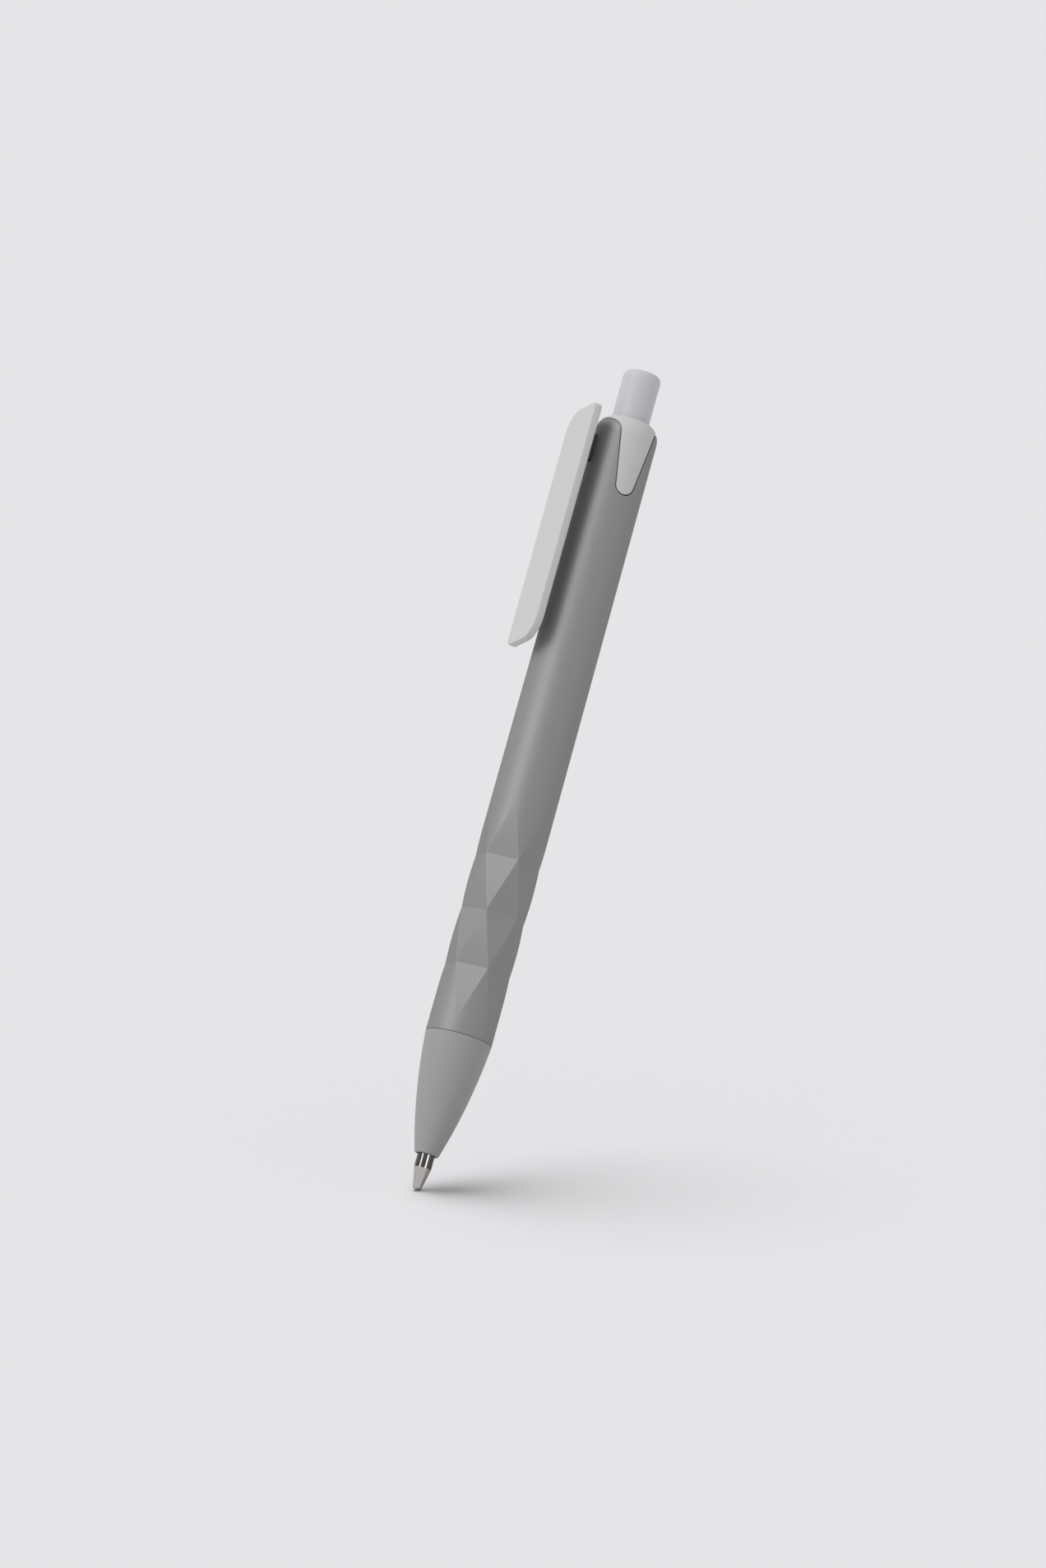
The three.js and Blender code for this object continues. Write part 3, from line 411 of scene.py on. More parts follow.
class Value:
    """A node's socket that Python's operators work on."""

    def __init__(self, tree, socket):
        self.tree = tree
        self.socket = socket

    def math(self, operation, *others, swap=False):
        terms = [self, *others]
        if swap:
            terms.reverse()
        return self.tree.out(
            "ShaderNodeMath", 0, {"operation": operation}, dict(enumerate(terms)))

    def __add__(self, other):
        return self.math("ADD", other)

    __radd__ = __add__

    def __mul__(self, other):
        return self.math("MULTIPLY", other)

    __rmul__ = __mul__

    def __sub__(self, other):
        return self.math("SUBTRACT", other)

    def __rsub__(self, other):
        return self.math("SUBTRACT", other, swap=True)

    def __truediv__(self, other):
        return self.math("DIVIDE", other)

    def __rtruediv__(self, other):
        return self.math("DIVIDE", other, swap=True)


class Tree:
    """Builds the nodes of a shader or a Geometry Nodes tree."""

    def __init__(self, tree):
        self.tree = tree

    def node(self, kind, options=None, values=None):
        """A new node: its options are set first, then its sockets' values and links."""
        made = self.tree.nodes.new(kind)
        for key, value in (options or {}).items():
            setattr(made, key, value)
        for key, value in (values or {}).items():
            socket = made.inputs[key]
            if isinstance(value, Value):
                self.tree.links.new(value.socket, socket)
            else:
                socket.default_value = value
        return made

    def out(self, kind, output, options=None, values=None):
        """A new node's output."""
        return Value(self, self.node(kind, options, values).outputs[output])


def new_modifier_tree(name, inputs):
    """A Geometry Nodes tree with inputs listed by kind, and a dict of their values."""
    group = bpy.data.node_groups.new(name, "GeometryNodeTree")
    group.interface.new_socket("Geometry", in_out="OUTPUT", socket_type="NodeSocketGeometry")
    labels = []
    for kind, names in inputs.items():
        for label in names:
            group.interface.new_socket(label, in_out="INPUT", socket_type="NodeSocket" + kind)
            labels.append(label)
    tree = Tree(group)
    source = tree.node("NodeGroupInput")
    return tree, {label: Value(tree, source.outputs[label]) for label in labels}


def end_tree(tree, geometry, material):
    """Realize Instances, Set Material and the output."""
    real = tree.out("GeometryNodeRealizeInstances", 0, None, {0: geometry})
    coated = tree.out("GeometryNodeSetMaterial", 0, None, {"Geometry": real, "Material": material})
    tree.node("NodeGroupOutput", None, {0: coated})


def run_tree(made, tree, values):
    """Runs a tree on the object, inputs set by identifier, and keeps the result as its mesh."""
    modifier = made.modifiers.new(tree.tree.name, "NODES")
    modifier.node_group = tree.tree
    for item in tree.tree.interface.items_tree:
        if item.item_type == "SOCKET" and item.in_out == "INPUT" and item.name in values:
            modifier[item.identifier] = values[item.name]
    return plain_mesh(made)


def empty_mesh_object(name):
    return add_object(name, bpy.data.meshes.new(name))


def cleared_tree(owner):
    """The node tree of a material or world, emptied."""
    owner.use_nodes = True
    owner.node_tree.nodes.clear()
    return Tree(owner.node_tree)


# Finishes


def new_material(name):
    material = bpy.data.materials.new(name)
    return material, cleared_tree(material)


def surface(tree, values):
    """Ends a material with a shader of the given values and links."""
    shader = tree.out("ShaderNodeBsdfPrincipled", 0, None, values)
    tree.node("ShaderNodeOutputMaterial", None, {"Surface": shader})


def object_place(tree, stretch=(1.0, 1.0, 1.0)):
    """Object coordinates in millimetres, times the given stretch."""
    coordinates = tree.out("ShaderNodeTexCoord", "Object")
    return tree.out(
        "ShaderNodeMapping", 0, None,
        {"Vector": coordinates, "Scale": tuple(s / MM for s in stretch)})


def noise(tree, scale, detail=3.0, stretch=(1.0, 1.0, 1.0)):
    return tree.out(
        "ShaderNodeTexNoise", "Fac", None,
        {"Vector": object_place(tree, stretch), "Scale": scale, "Detail": detail})


def tinted(tree, base, amount):
    """A colour made lighter and darker by an amount that swings round zero."""
    return tree.out(
        "ShaderNodeVectorMath", 0, {"operation": "SCALE"}, {0: base, "Scale": amount + 1.0})


def relief(tree, height, strength, depth):
    """A normal for fine relief, its depth in millimetres."""
    return tree.out(
        "ShaderNodeBump", 0, None,
        {"Strength": strength, "Distance": depth * MM, "Height": height})


def moulded_plastic(
        name, base, roughness, grain=0.02, mottle=0.05, streak=0.03, specular=0.5,
        metallic=0.0, rim=1.0):
    """Moulded plastic with a mottled colour, soft draw streaks along the pen and a fine grain.

    grain is the grain's depth in millimetres, and rim the tint of the plastic's gloss.
    """
    material, tree = new_material(name)
    speckle = noise(tree, 5.0, 4.0)
    cloud = noise(tree, 0.8, 2.0, (1.0, 1.0, 0.35))
    streaks = noise(tree, 2.2, 3.0, (1.0, 1.0, 0.04))
    swing = (speckle - 0.5) * mottle + (cloud - 0.5) * mottle + (streaks - 0.5) * streak
    surface(tree, {
        "Base Color": tinted(tree, tuple(base), swing),
        "Roughness": (speckle - 0.5) * 0.12 + (cloud - 0.5) * 0.08 + roughness,
        "Normal": relief(tree, noise(tree, 9.0, 5.0), 0.35, grain),
        "Specular IOR Level": specular,
        "Metallic": metallic,
        "Specular Tint": (rim, rim, rim, 1.0),
    })
    return material


def turned_metal(name, dark, pale, cone_top):
    """Tip metal: a polished cylinder, a paler satin cone and fine turning marks; the cylinder's
    dark colour is a painted dark reflection, the metal being the same as the cone's.
    """
    material, tree = new_material(name)
    softness = 0.04
    height = tree.out("ShaderNodeSeparateXYZ", "Z", None, {0: object_place(tree)})
    cone = 1.0 - tree.out(
        "ShaderNodeMapRange", 0, {"interpolation_type": "SMOOTHSTEP"},
        {"Value": height, "From Min": cone_top - softness, "From Max": cone_top + softness})
    marks = noise(tree, 14.0, 2.0, (0.05, 0.05, 1.0))
    smear = noise(tree, 3.0, 3.0)
    # The dark colour below the cone's top is the painted dark reflection on the cylinder.
    mixed = tree.out(
        "ShaderNodeMix", "Result", {"data_type": "RGBA"},
        {"Factor": cone, "A": (*dark, 1.0), "B": (*pale, 1.0)})
    surface(tree, {
        "Base Color": tinted(tree, mixed, (marks - 0.5) * 0.18 + (smear - 0.5) * 0.10),
        "Roughness": cone * 0.13 + smear * 0.06 + 0.06,
        "Normal": relief(tree, marks, 0.2, 0.004),
        "Metallic": 1.0,
    })
    return material


def polished_metal(name, base, roughness, marks_scale):
    """Plain metal with fine drawing or polishing marks."""
    material, tree = new_material(name)
    marks = noise(tree, marks_scale)
    surface(tree, {
        "Base Color": tinted(tree, base, (marks - 0.5) * 0.15),
        "Roughness": marks * 0.08 + roughness,
        "Metallic": 1.0,
    })
    return material


def ink_finish(name):
    material, tree = new_material(name)
    swirl = noise(tree, 1.5, 2.0)
    surface(tree, {
        "Base Color": tinted(tree, (0.012, 0.014, 0.03), (swirl - 0.5) * 0.5),
        "Roughness": swirl * 0.1 + 0.1,
    })
    return material


MATERIALS = {}


def finish(name):
    """The named finish, made once."""
    if name not in MATERIALS:
        colours = settings("pen_finish")
        makers = {
            "barrel": lambda: moulded_plastic(
                "barrel_satin_grey", colours.barrel, 0.54, mottle=0.08, specular=0.2,
                metallic=0.45, rim=0.35),
            "nose": lambda: moulded_plastic(
                "nose_matte_grey", colours.nose, 0.62, mottle=0.025, streak=0.015,
                specular=0.35),
            # painted shade: the web's dark grey stands for the shadow between the clip and the
            # barrel
            "web": lambda: moulded_plastic(
                "web_painted_shade_grey", (0.075, 0.075, 0.076), 0.6, specular=0.25),
            "light": lambda: moulded_plastic(
                "trim_light_grey", colours.light, 0.55, mottle=0.015, streak=0.01),
            "button": lambda: moulded_plastic(
                "button_light_grey", colours.button, 0.5, mottle=0.015, streak=0.01),
            "mechanism": lambda: moulded_plastic(
                "mechanism_natural_white", (0.72, 0.71, 0.67), 0.45, mottle=0.02),
            "tube": lambda: moulded_plastic(
                "refill_tube_clear_white", (0.62, 0.65, 0.69), 0.3, grain=0.004, mottle=0.02),
            "ink": lambda: ink_finish("ink_dark"),
            "tip": lambda: turned_metal(
                "tip_turned_metal", colours.cylinder, colours.cone,
                TIP_LOW.z + settings("pen_tip").cone_length),
            "ball": lambda: polished_metal("ball_polished", (0.55, 0.55, 0.56), 0.05, 9.0),
            "wire": lambda: polished_metal("spring_wire", (0.56, 0.57, 0.58), 0.2, 6.0),
        }
        MATERIALS[name] = makers[name]()
    return MATERIALS[name]


# The facetted grip: a Geometry Nodes tree, because every corner follows one rule


def grip_tree(material):
    """Skin of the facetted grip.

    Columns of the grid belong in turn to faces of two kinds. In one row the first kind widens
    upwards from a corner while the other narrows, and in the next row they change over. The ends
    of each face stay on the grip's circle; between them it is straight, or round where the
    facets run out in the first and the last row.
    """
    tree, given = new_modifier_tree("facetted_grip", {
        "Int": ("Facets Around", "Rows", "Columns Per Face", "Levels Per Row"),
        "Float": ("Base Height", "Pitch", "Base Radius", "Taper", "First Corner")})
    faces = given["Facets Around"] * 2.0
    columns = faces * given["Columns Per Face"]
    levels = given["Rows"] * given["Levels Per Row"]
    grid = tree.out("GeometryNodeMeshGrid", "Mesh", None, {
        "Size X": 1.0, "Size Y": 1.0,
        "Vertices X": columns + 1.0, "Vertices Y": levels + 1.0})
    position = tree.node(
        "ShaderNodeSeparateXYZ", None, {0: tree.out("GeometryNodeInputPosition", 0)})
    across = Value(tree, position.outputs["X"]) + 0.5
    upward = (Value(tree, position.outputs["Y"]) + 0.5) * given["Rows"]

    column = (across * columns).math("ROUND")
    face = ((column + 0.5) / given["Columns Per Face"]).math("FLOOR").math(
        "MINIMUM", faces - 1.0)
    along_face = (column - face * given["Columns Per Face"]) / given["Columns Per Face"]
    pair = (face * 0.5 + 0.01).math("FLOOR")
    kind = face - pair * 2.0

    row = (upward + 1e-4).math("FLOOR").math("MINIMUM", given["Rows"] - 1.0)
    share = upward - row
    parity = row.math("MODULO", 2.0)
    widening = 1.0 - (kind - parity).math("ABSOLUTE")
    width = widening * share + (1.0 - widening) * (1.0 - share)

    half = math.pi / given["Facets Around"]
    centre = given["First Corner"] + half * (pair * 2.0 + 1.0 + kind)
    reach = half * width
    side = along_face * 2.0 - 1.0
    first_row = row.math("LESS_THAN", 0.5) * (1.0 - widening)
    last_row = row.math("GREATER_THAN", given["Rows"] - 1.5) * widening
    rounded = first_row + last_row
    height = given["Base Height"] + given["Pitch"] * upward
    radius = given["Base Radius"] + given["Taper"] * given["Pitch"] * upward
    turned_to = reach * side
    flat_out = reach.math("COSINE")
    flat_side = reach.math("SINE") * side
    outward = rounded * turned_to.math("COSINE") + (1.0 - rounded) * flat_out
    sideways = rounded * turned_to.math("SINE") + (1.0 - rounded) * flat_side
    cosine, sine = centre.math("COSINE"), centre.math("SINE")
    moved = tree.out("ShaderNodeCombineXYZ", 0, None, {
        "X": (outward * cosine - sideways * sine) * radius,
        "Y": (outward * sine + sideways * cosine) * radius,
        "Z": height})
    bent = tree.out("GeometryNodeSetPosition", 0, None, {"Geometry": grid, "Position": moved})
    closed = tree.out("GeometryNodeMergeByDistance", 0, None, {
        "Geometry": bent, "Distance": GRID_MERGE * MM})
    end_tree(tree, closed, material)
    return tree


def copies_tree(name, material):
    """Even copies of the object's own mesh round Z."""
    tree, given = new_modifier_tree(name, {"Geometry": ("Geometry",), "Int": ("Count",)})
    line = tree.out("GeometryNodeMeshLine", 0, None, {
        "Count": given["Count"], "Offset": (0.0, 0.0, 0.0)})
    turn = tree.out("GeometryNodeInputIndex", 0) * (2.0 * math.pi) / given["Count"]
    rotation = tree.out("ShaderNodeCombineXYZ", 0, None, {"Z": turn})
    copies = tree.out("GeometryNodeInstanceOnPoints", 0, None, {
        "Points": line, "Instance": given["Geometry"], "Rotation": rotation})
    end_tree(tree, copies, material)
    return tree


def coil_tree(material):
    """A wire coil that climbs along Z."""
    tree, given = new_modifier_tree("wire_coil", {
        "Float": ("Turns", "Radius", "Height", "Base Height", "Wire Radius")})
    spiral = tree.out("GeometryNodeCurveSpiral", 0, None, {
        "Resolution": 40, "Rotations": given["Turns"], "Start Radius": given["Radius"],
        "End Radius": given["Radius"], "Height": given["Height"]})
    offset = tree.out("ShaderNodeCombineXYZ", 0, None, {"Z": given["Base Height"]})
    raised = tree.out(
        "GeometryNodeSetPosition", 0, None, {"Geometry": spiral, "Offset": offset})
    section = tree.out("GeometryNodeCurvePrimitiveCircle", 0, {"mode": "RADIUS"}, {
        "Resolution": 12, "Radius": given["Wire Radius"]})
    wire = tree.out("GeometryNodeCurveToMesh", 0, None, {
        "Curve": raised, "Profile Curve": section, "Fill Caps": True})
    end_tree(tree, wire, material)
    return tree


# Shapes shared by the barrel and the collar

COLUMNS_PER_FACE = 32
LEVELS_PER_ROW = 12
GRID_MERGE = 0.002  # millimetres, where the grip's skin closes on itself
RING_MERGE = 0.001  # millimetres, where it meets the plain walls


def barrel_radius(z):
    casing = settings("pen_casing")
    share = (z - casing.parting_height) / (dome_base() - casing.parting_height)
    return casing.grip_radius + (casing.top_radius - casing.grip_radius) * share


def dome_centre():
    casing = settings("pen_casing")
    return casing.top_radius - casing.dome_radius


def dome_base():
    """Height at which the dome starts: its top ends at the collar's hole, less the edge."""
    casing = settings("pen_casing")
    rise = math.sqrt(casing.dome_radius ** 2 - (casing.hole_radius - dome_centre()) ** 2)
    return casing.collar_bottom + casing.collar_height - rise


def straight_end():
    """Radius and height of the barrel's last straight section under the dome."""
    height = dome_base() - settings("pen_casing").straight_drop
    return barrel_radius(height), height


def dome_arc(radius, steps):
    """Dome points from its base up to the given radius."""
    casing = settings("pen_casing")
    angle = math.degrees(math.acos((radius - dome_centre()) / casing.dome_radius))
    return arc(dome_centre(), dome_base(), casing.dome_radius, 0.0, angle, steps)


def tongue_outline(margin):
    """Outline of a collar tongue in the plane of clip and axis, grown by a margin."""
    casing = settings("pen_casing")
    flare = casing.tongue_flare
    tip = casing.tongue_tip + margin
    tip_z = dome_base() - casing.tongue_drop + casing.tongue_tip
    shelf_z = dome_base() + casing.lobe_rise - margin
    corner = casing.lobe_corner - margin
    corner_z = shelf_z - corner
    corner_y = (tip + corner) / math.cos(flare) + (corner_z - tip_z) * math.tan(flare)
    flare_degrees = math.degrees(flare)
    wide = 2.0 * casing.top_radius
    high = tip_z + 4.0 * wide
    right = arc(0.0, tip_z, tip, -90.0, -flare_degrees, 20)
    right += arc(corner_y, corner_z, corner, 180.0 - flare_degrees, 90.0, 20)
    right += [(wide, shelf_z), (wide, high)]
    left = [(-y, z) for y, z in reversed(right[1:])]
    return right + left


def tongue_prism(name, margin):
    reach = 3.0 * settings("pen_casing").top_radius
    return prism(
        name, tongue_outline(margin), -reach, reach, lambda u, v, w: Vector((w, u, v)))


class PEN_OT_barrel(bpy.types.Operator):
    """Build the barrel with its facetted grip, domed lobes and clip window"""

    bl_idname = "pen.barrel"
    bl_label = "Barrel"

    def execute(self, context):
        casing, clip = settings("pen_casing"), settings("pen_clip")
        grip_low = casing.parting_height + casing.facet_start
        grip_high = grip_low + casing.facet_pitch * casing.facet_rows
        taper = (barrel_radius(grip_high) - barrel_radius(grip_low)) / (grip_high - grip_low)
        material = finish("barrel")
        barrel = run_tree(empty_mesh_object("pen_barrel"), grip_tree(material), {
            "Facets Around": casing.facets_around, "Rows": casing.facet_rows,
            "Columns Per Face": COLUMNS_PER_FACE, "Levels Per Row": LEVELS_PER_ROW,
            "Base Height": grip_low * MM, "Pitch": casing.facet_pitch * MM,
            "Base Radius": barrel_radius(grip_low) * MM, "Taper": taper,
            "First Corner": casing.facet_turn - math.pi / 2.0})
        self.add_plain_walls(barrel, casing, grip_low, grip_high)
        combined(barrel, tongue_prism("tongue_cut", casing.seam), "DIFFERENCE")
        half = clip.web_width / 2.0 + clip.slot_side
        window = boxed(
            "window_cut", (-half, -2.0 * casing.top_radius, clip.web_low - clip.slot_end),
            (half, -casing.upper_bore / 2.0, clip.web_high + clip.slot_side))
        combined(barrel, window, "DIFFERENCE")
        shaded(barrel, 11.0)
        dressed(barrel, "barrel_body", "barrel_plastic", material, "barrel")
        return {"FINISHED"}

    @staticmethod
    def add_plain_walls(barrel, casing, grip_low, grip_high):
        """Rings from the grip's foot round the parting edge, up the bore and over the dome."""
        bottom = casing.parting_height + casing.parting_gap
        edge = casing.parting_edge
        around_count = casing.facets_around * COLUMNS_PER_FACE
        first = math.degrees(casing.facet_turn) + 180.0 / casing.facets_around
        rings = [
            (barrel_radius(grip_low), grip_low),
            (barrel_radius(bottom + 3.0 * edge), bottom + 3.0 * edge),
            *reversed(arc(casing.grip_radius - edge, bottom + edge, edge, -90.0, 0.0, 4)),
            (casing.lower_bore, bottom),
            (casing.lower_bore, casing.ledge_height),
            (casing.upper_bore, casing.ledge_height),
            *reversed(dome_arc(casing.upper_bore, 12)),
            straight_end(),
            (barrel_radius(grip_high), grip_high),
        ]
        bm = bmesh.new()
        bm.from_mesh(barrel.data)
        made = []
        for radius, z in rings:
            made.append([
                bm.verts.new(around(radius, first + 360.0 * i / around_count, z) * MM)
                for i in range(around_count)])
        for lower, upper in zip(made, made[1:]):
            bridge(bm, lower, upper)
        bmesh.ops.remove_doubles(bm, verts=bm.verts, dist=RING_MERGE * MM)
        bmesh.ops.recalc_face_normals(bm, faces=bm.faces)
        bm.to_mesh(barrel.data)
        bm.free()


class PEN_OT_nose(bpy.types.Operator):
    """Build the nose cone"""

    bl_idname = "pen.nose"
    bl_label = "Nose Cone"

    def execute(self, context):
        casing, nose = settings("pen_casing"), settings("pen_nose")
        mouth, fillet, edge = NOSE_LOW.z, nose.lip_fillet, casing.parting_edge
        parting, top = casing.parting_height, NOSE_HIGH.z
        start = Vector((nose.lip_radius, mouth + fillet))
        end = Vector((casing.grip_radius, parting - edge))
        run, rise = end.y - start.y, end.x - start.x
        turn_at = (rise - nose.back_slope * run) / (nose.front_slope - nose.back_slope)
        turn = Vector((start.x + nose.front_slope * turn_at, start.y + turn_at))
        flank = []
        steps = 48
        for i in range(1, steps):
            t = i / steps
            point = start * (1 - t) ** 2 + turn * 2 * t * (1 - t) + end * t ** 2
            flank.append(tuple(point))
        profile = [
            (nose.mouth_radius + nose.mouth_chamfer, mouth),
            *arc(nose.lip_radius - fillet, mouth + fillet, fillet, -90.0, 0.0, 8),
            *flank,
            *arc(casing.grip_radius - edge, parting - edge, edge, 0.0, 90.0, 4),
            (nose.spigot_radius, parting),
            (nose.spigot_radius, top - nose.spigot_chamfer),
            (nose.spigot_radius - nose.spigot_chamfer, top),
            (nose.chamber_radius, top),
            (nose.chamber_radius, nose.seat_height),
            (nose.mouth_radius, nose.seat_height),
            (nose.mouth_radius, mouth + nose.mouth_chamfer),
        ]
        cone = turned("pen_nose_cone", profile, 160, ring=True)
        shaded(cone, 30.0)
        dressed(cone, "nose_body", "nose_plastic", finish("nose"), "nose_cone")
        return {"FINISHED"}


class PEN_OT_collar(bpy.types.Operator):
    """Build the domed collar with its two tongues and its sleeve"""

    bl_idname = "pen.collar"
    bl_label = "Collar"

    def execute(self, context):
        casing, clip = settings("pen_casing"), settings("pen_clip")
        button = settings("pen_button")
        low = dome_base() - casing.tongue_drop - casing.tongue_tip
        dome = dome_arc(casing.hole_radius, 16)
        top = dome[-1][1]
        # The turned pieces differ in segments, so that no two walls lie in one plane.
        shell = turned("pen_collar", [
            (casing.tongue_inner, low),
            (barrel_radius(low), low),
            straight_end(),
            *dome,
            (button.tube_radius, top),
            (button.tube_radius, casing.collar_bottom),
            (casing.tongue_inner, casing.collar_bottom),
        ], 192, ring=True)
        combined(shell, tongue_prism("tongue_keep", 0.0), "INTERSECT")
        sleeve = turned("sleeve", [
            (0.0, casing.collar_bottom),
            (casing.sleeve_radius, casing.collar_bottom),
            (casing.sleeve_radius, dome_base() + casing.lobe_rise),
            (0.0, dome_base() + casing.lobe_rise),
        ], 188)
        combined(shell, sleeve, "UNION")
        edge, over = casing.hole_edge, top + 1.0
        hole = turned("hole", [
            (0.0, low),
            (casing.hole_radius, low),
            (casing.hole_radius, top - edge),
            *reversed(arc(casing.hole_radius + edge, top - edge, edge, 100.0, 180.0, 6)),
            (casing.hole_radius + edge, over),
            (0.0, over),
        ], 184)
        combined(shell, hole, "DIFFERENCE")
        half = clip.web_width / 2.0 + clip.notch_play
        notch = boxed(
            "notch", (-half, -2.0 * casing.top_radius, low),
            (half, -button.tube_radius, clip.web_high + clip.barb_lip + clip.notch_play))
        combined(shell, notch, "DIFFERENCE")
        shaded(shell, 28.0)
        dressed(shell, "barrel_body", "collar_plastic", finish("light"), "top_collar")
        return {"FINISHED"}


class PEN_OT_clip(bpy.types.Operator):
    """Build the pocket clip with its nub, and the web and barb that hold it in the barrel"""

    bl_idname = "pen.clip"
    bl_label = "Pocket Clip"

    def execute(self, context):
        casing, clip = settings("pen_casing"), settings("pen_clip")
        inner_y = CLIP_LOW.y + clip.thickness
        plate = self.make_plate(clip)
        height, foot = clip.nub_height, clip.nub_radius
        ball = (foot ** 2 + height ** 2) / (2.0 * height)
        start = math.degrees(math.asin((ball - height) / ball))
        nub = turned("nub", [
            (0.0, -clip.thickness / 2.0),
            (foot, -clip.thickness / 2.0),
            *arc(0.0, height - ball, ball, start, 90.0, 14),
        ], 48)
        nub.data.transform(
            Matrix.Translation((0.0, inner_y * MM, (CLIP_LOW.z + clip.nub_inset) * MM))
            @ Matrix.Rotation(math.radians(-90.0), 4, "X"))
        combined(plate, nub, "UNION")
        shaded(plate, 35.0)
        dressed(plate, "clip_body", "clip_plastic", finish("light"), "pocket_clip")
        self.make_web(casing, clip, inner_y)
        return {"FINISHED"}

    @staticmethod
    def make_web(casing, clip, inner_y):
        """The web from the plate into the barrel's slot, and its barb inside; its dark grey is
        painted shade, for the shadow between the clip and the barrel.
        """
        half = clip.web_width / 2.0
        barb_y = -math.sqrt(casing.upper_bore ** 2 - half ** 2) + clip.barb_play
        apart = 0.001  # keeps the barb's faces out of the web's planes
        web = boxed(
            "pen_clip_web", (-half, inner_y - clip.web_sink, clip.web_low),
            (half, barb_y + clip.barb_thickness, clip.web_high))
        barb = boxed(
            "barb", (-half + apart, barb_y, clip.web_low - clip.barb_lip),
            (half - apart, barb_y + clip.barb_thickness - apart, clip.web_high + clip.barb_lip))
        combined(web, barb, "UNION")
        shaded(web, 35.0)
        dressed(web, "clip_body", "barrel_plastic", finish("web"))

    @staticmethod
    def make_plate(clip):
        """The plate as rings of its outline, inset step by step over its rounded edges."""
        half = (CLIP_HIGH.x - CLIP_LOW.x) / 2.0
        large, small, slant = clip.large_corner, clip.small_corner, clip.end_slant
        across = 2.0 * half - large - small
        rise = (large - small + math.sin(slant) * across) / math.cos(slant)
        low, high, tilt = CLIP_LOW.z + small, CLIP_HIGH.z - small, math.degrees(slant)
        corners = [
            (half - large, low + rise, large, tilt - 90.0, 0.0),
            (half - small, high, small, 0.0, 90.0 + tilt),
            (large - half, high - rise, large, 90.0 + tilt, 180.0),
            (small - half, low, small, 180.0, 270.0 + tilt),
        ]

        def outline(inset):
            points = []
            for x, z, radius, start, end in corners:
                points += arc(x, z, radius - inset, start, end, 14)
            return points

        edge, outer = clip.edge, CLIP_LOW.y
        border = 0.08  # a flat strip beside the rounding keeps the shading crisp
        steps = [(edge + border, 0.0), (edge, 0.0)]
        steps += [
            (edge * (1.0 - math.sin(math.radians(a))), edge * (1.0 - math.cos(math.radians(a))))
            for a in (30.0, 60.0, 90.0)]
        bm = bmesh.new()
        levels = [(inset, outer + depth) for inset, depth in steps]
        levels += [(inset, outer + clip.thickness - depth) for inset, depth in reversed(steps)]
        rings = [
            [bm.verts.new((x, y, z)) for x, z in outline(inset)] for inset, y in levels]
        for lower, upper in zip(rings, rings[1:]):
            bridge(bm, lower, upper)
        bm.faces.new(rings[0])
        bm.faces.new(rings[-1])
        return to_object("pen_clip", bm)


class PEN_OT_button(bpy.types.Operator):
    """Build the push button with its stop flange, guide keys and crown of teeth"""

    bl_idname = "pen.button"
    bl_label = "Push Button"

    def execute(self, context):
        button = settings("pen_button")
        radius, tube, top = button.radius, button.tube_radius, BUTTON_HIGH.z
        root = BUTTON_LOW.z + button.tooth_height
        edge = button.edge
        # The points beside the rounding are flat strips that keep the shading crisp.
        body = turned("pen_push_button", [
            (button.bore_radius, root),
            (tube, root),
            (tube, button.flange_low),
            (BUTTON_HIGH.x, button.flange_low),
            (BUTTON_HIGH.x, button.flange_high),
            (tube, button.flange_high),
            (tube, button.step_height - (radius - tube)),
            (radius, button.step_height),
            (radius, top - edge - 0.3),
            *arc(radius - edge, top - edge, edge, 0.0, 90.0, 14),
            (radius - edge - 0.15, top),
            (radius - edge - 0.6, top),
            (0.0, top),
            (0.0, top - button.head),
            (button.bore_radius, top - button.head),
        ], 144, ring=True)
        material = finish("button")
        key_low = root + button.key_rise
        half = button.key_width / 2.0
        corner = 0.04  # a key's corners stand further out than the middle of its face
        key = boxed(
            "guide_key", (-half, tube - button.key_stand, key_low),
            (half, tube + button.key_stand - corner, key_low + button.key_length))
        for piece, name in ((self.make_tooth(button, root), "crown_teeth"), (key, "guide_keys")):
            joined(body, run_tree(
                piece, copies_tree(name, material), {"Count": button.teeth}))
        shaded(body, 30.0)
        dressed(body, "button_body", "button_plastic", material, "push_button")
        return {"FINISHED"}

    @staticmethod
    def make_tooth(button, root):
        """One pointed tooth of the crown, hanging under the tube and inset from its walls."""
        radii = (button.bore_radius + 0.02, button.tube_radius - 0.05)
        bm = bmesh.new()
        steps = 8
        tops, tips = [], []
        for i in range(steps + 1):
            share = i / steps
            drop = button.tooth_height * (1.0 - abs(2.0 * share - 1.0))
            degrees = 360.0 / button.teeth * share
            for ends, z in ((tips, root - drop), (tops, root + button.tooth_sink)):
                ends.append([bm.verts.new(around(r, degrees, z)) for r in radii])
        for i in range(steps):
            bm.faces.new((tips[i][0], tips[i][1], tips[i + 1][1], tips[i + 1][0]))
            bm.faces.new((tops[i][0], tops[i + 1][0], tops[i + 1][1], tops[i][1]))
            for k in (0, 1):
                bm.faces.new((tips[i][k], tips[i + 1][k], tops[i + 1][k], tops[i][k]))
        for i in (0, steps):
            bm.faces.new((tips[i][0], tips[i][1], tops[i][1], tops[i][0]))
        return to_object("crown_tooth", bm)


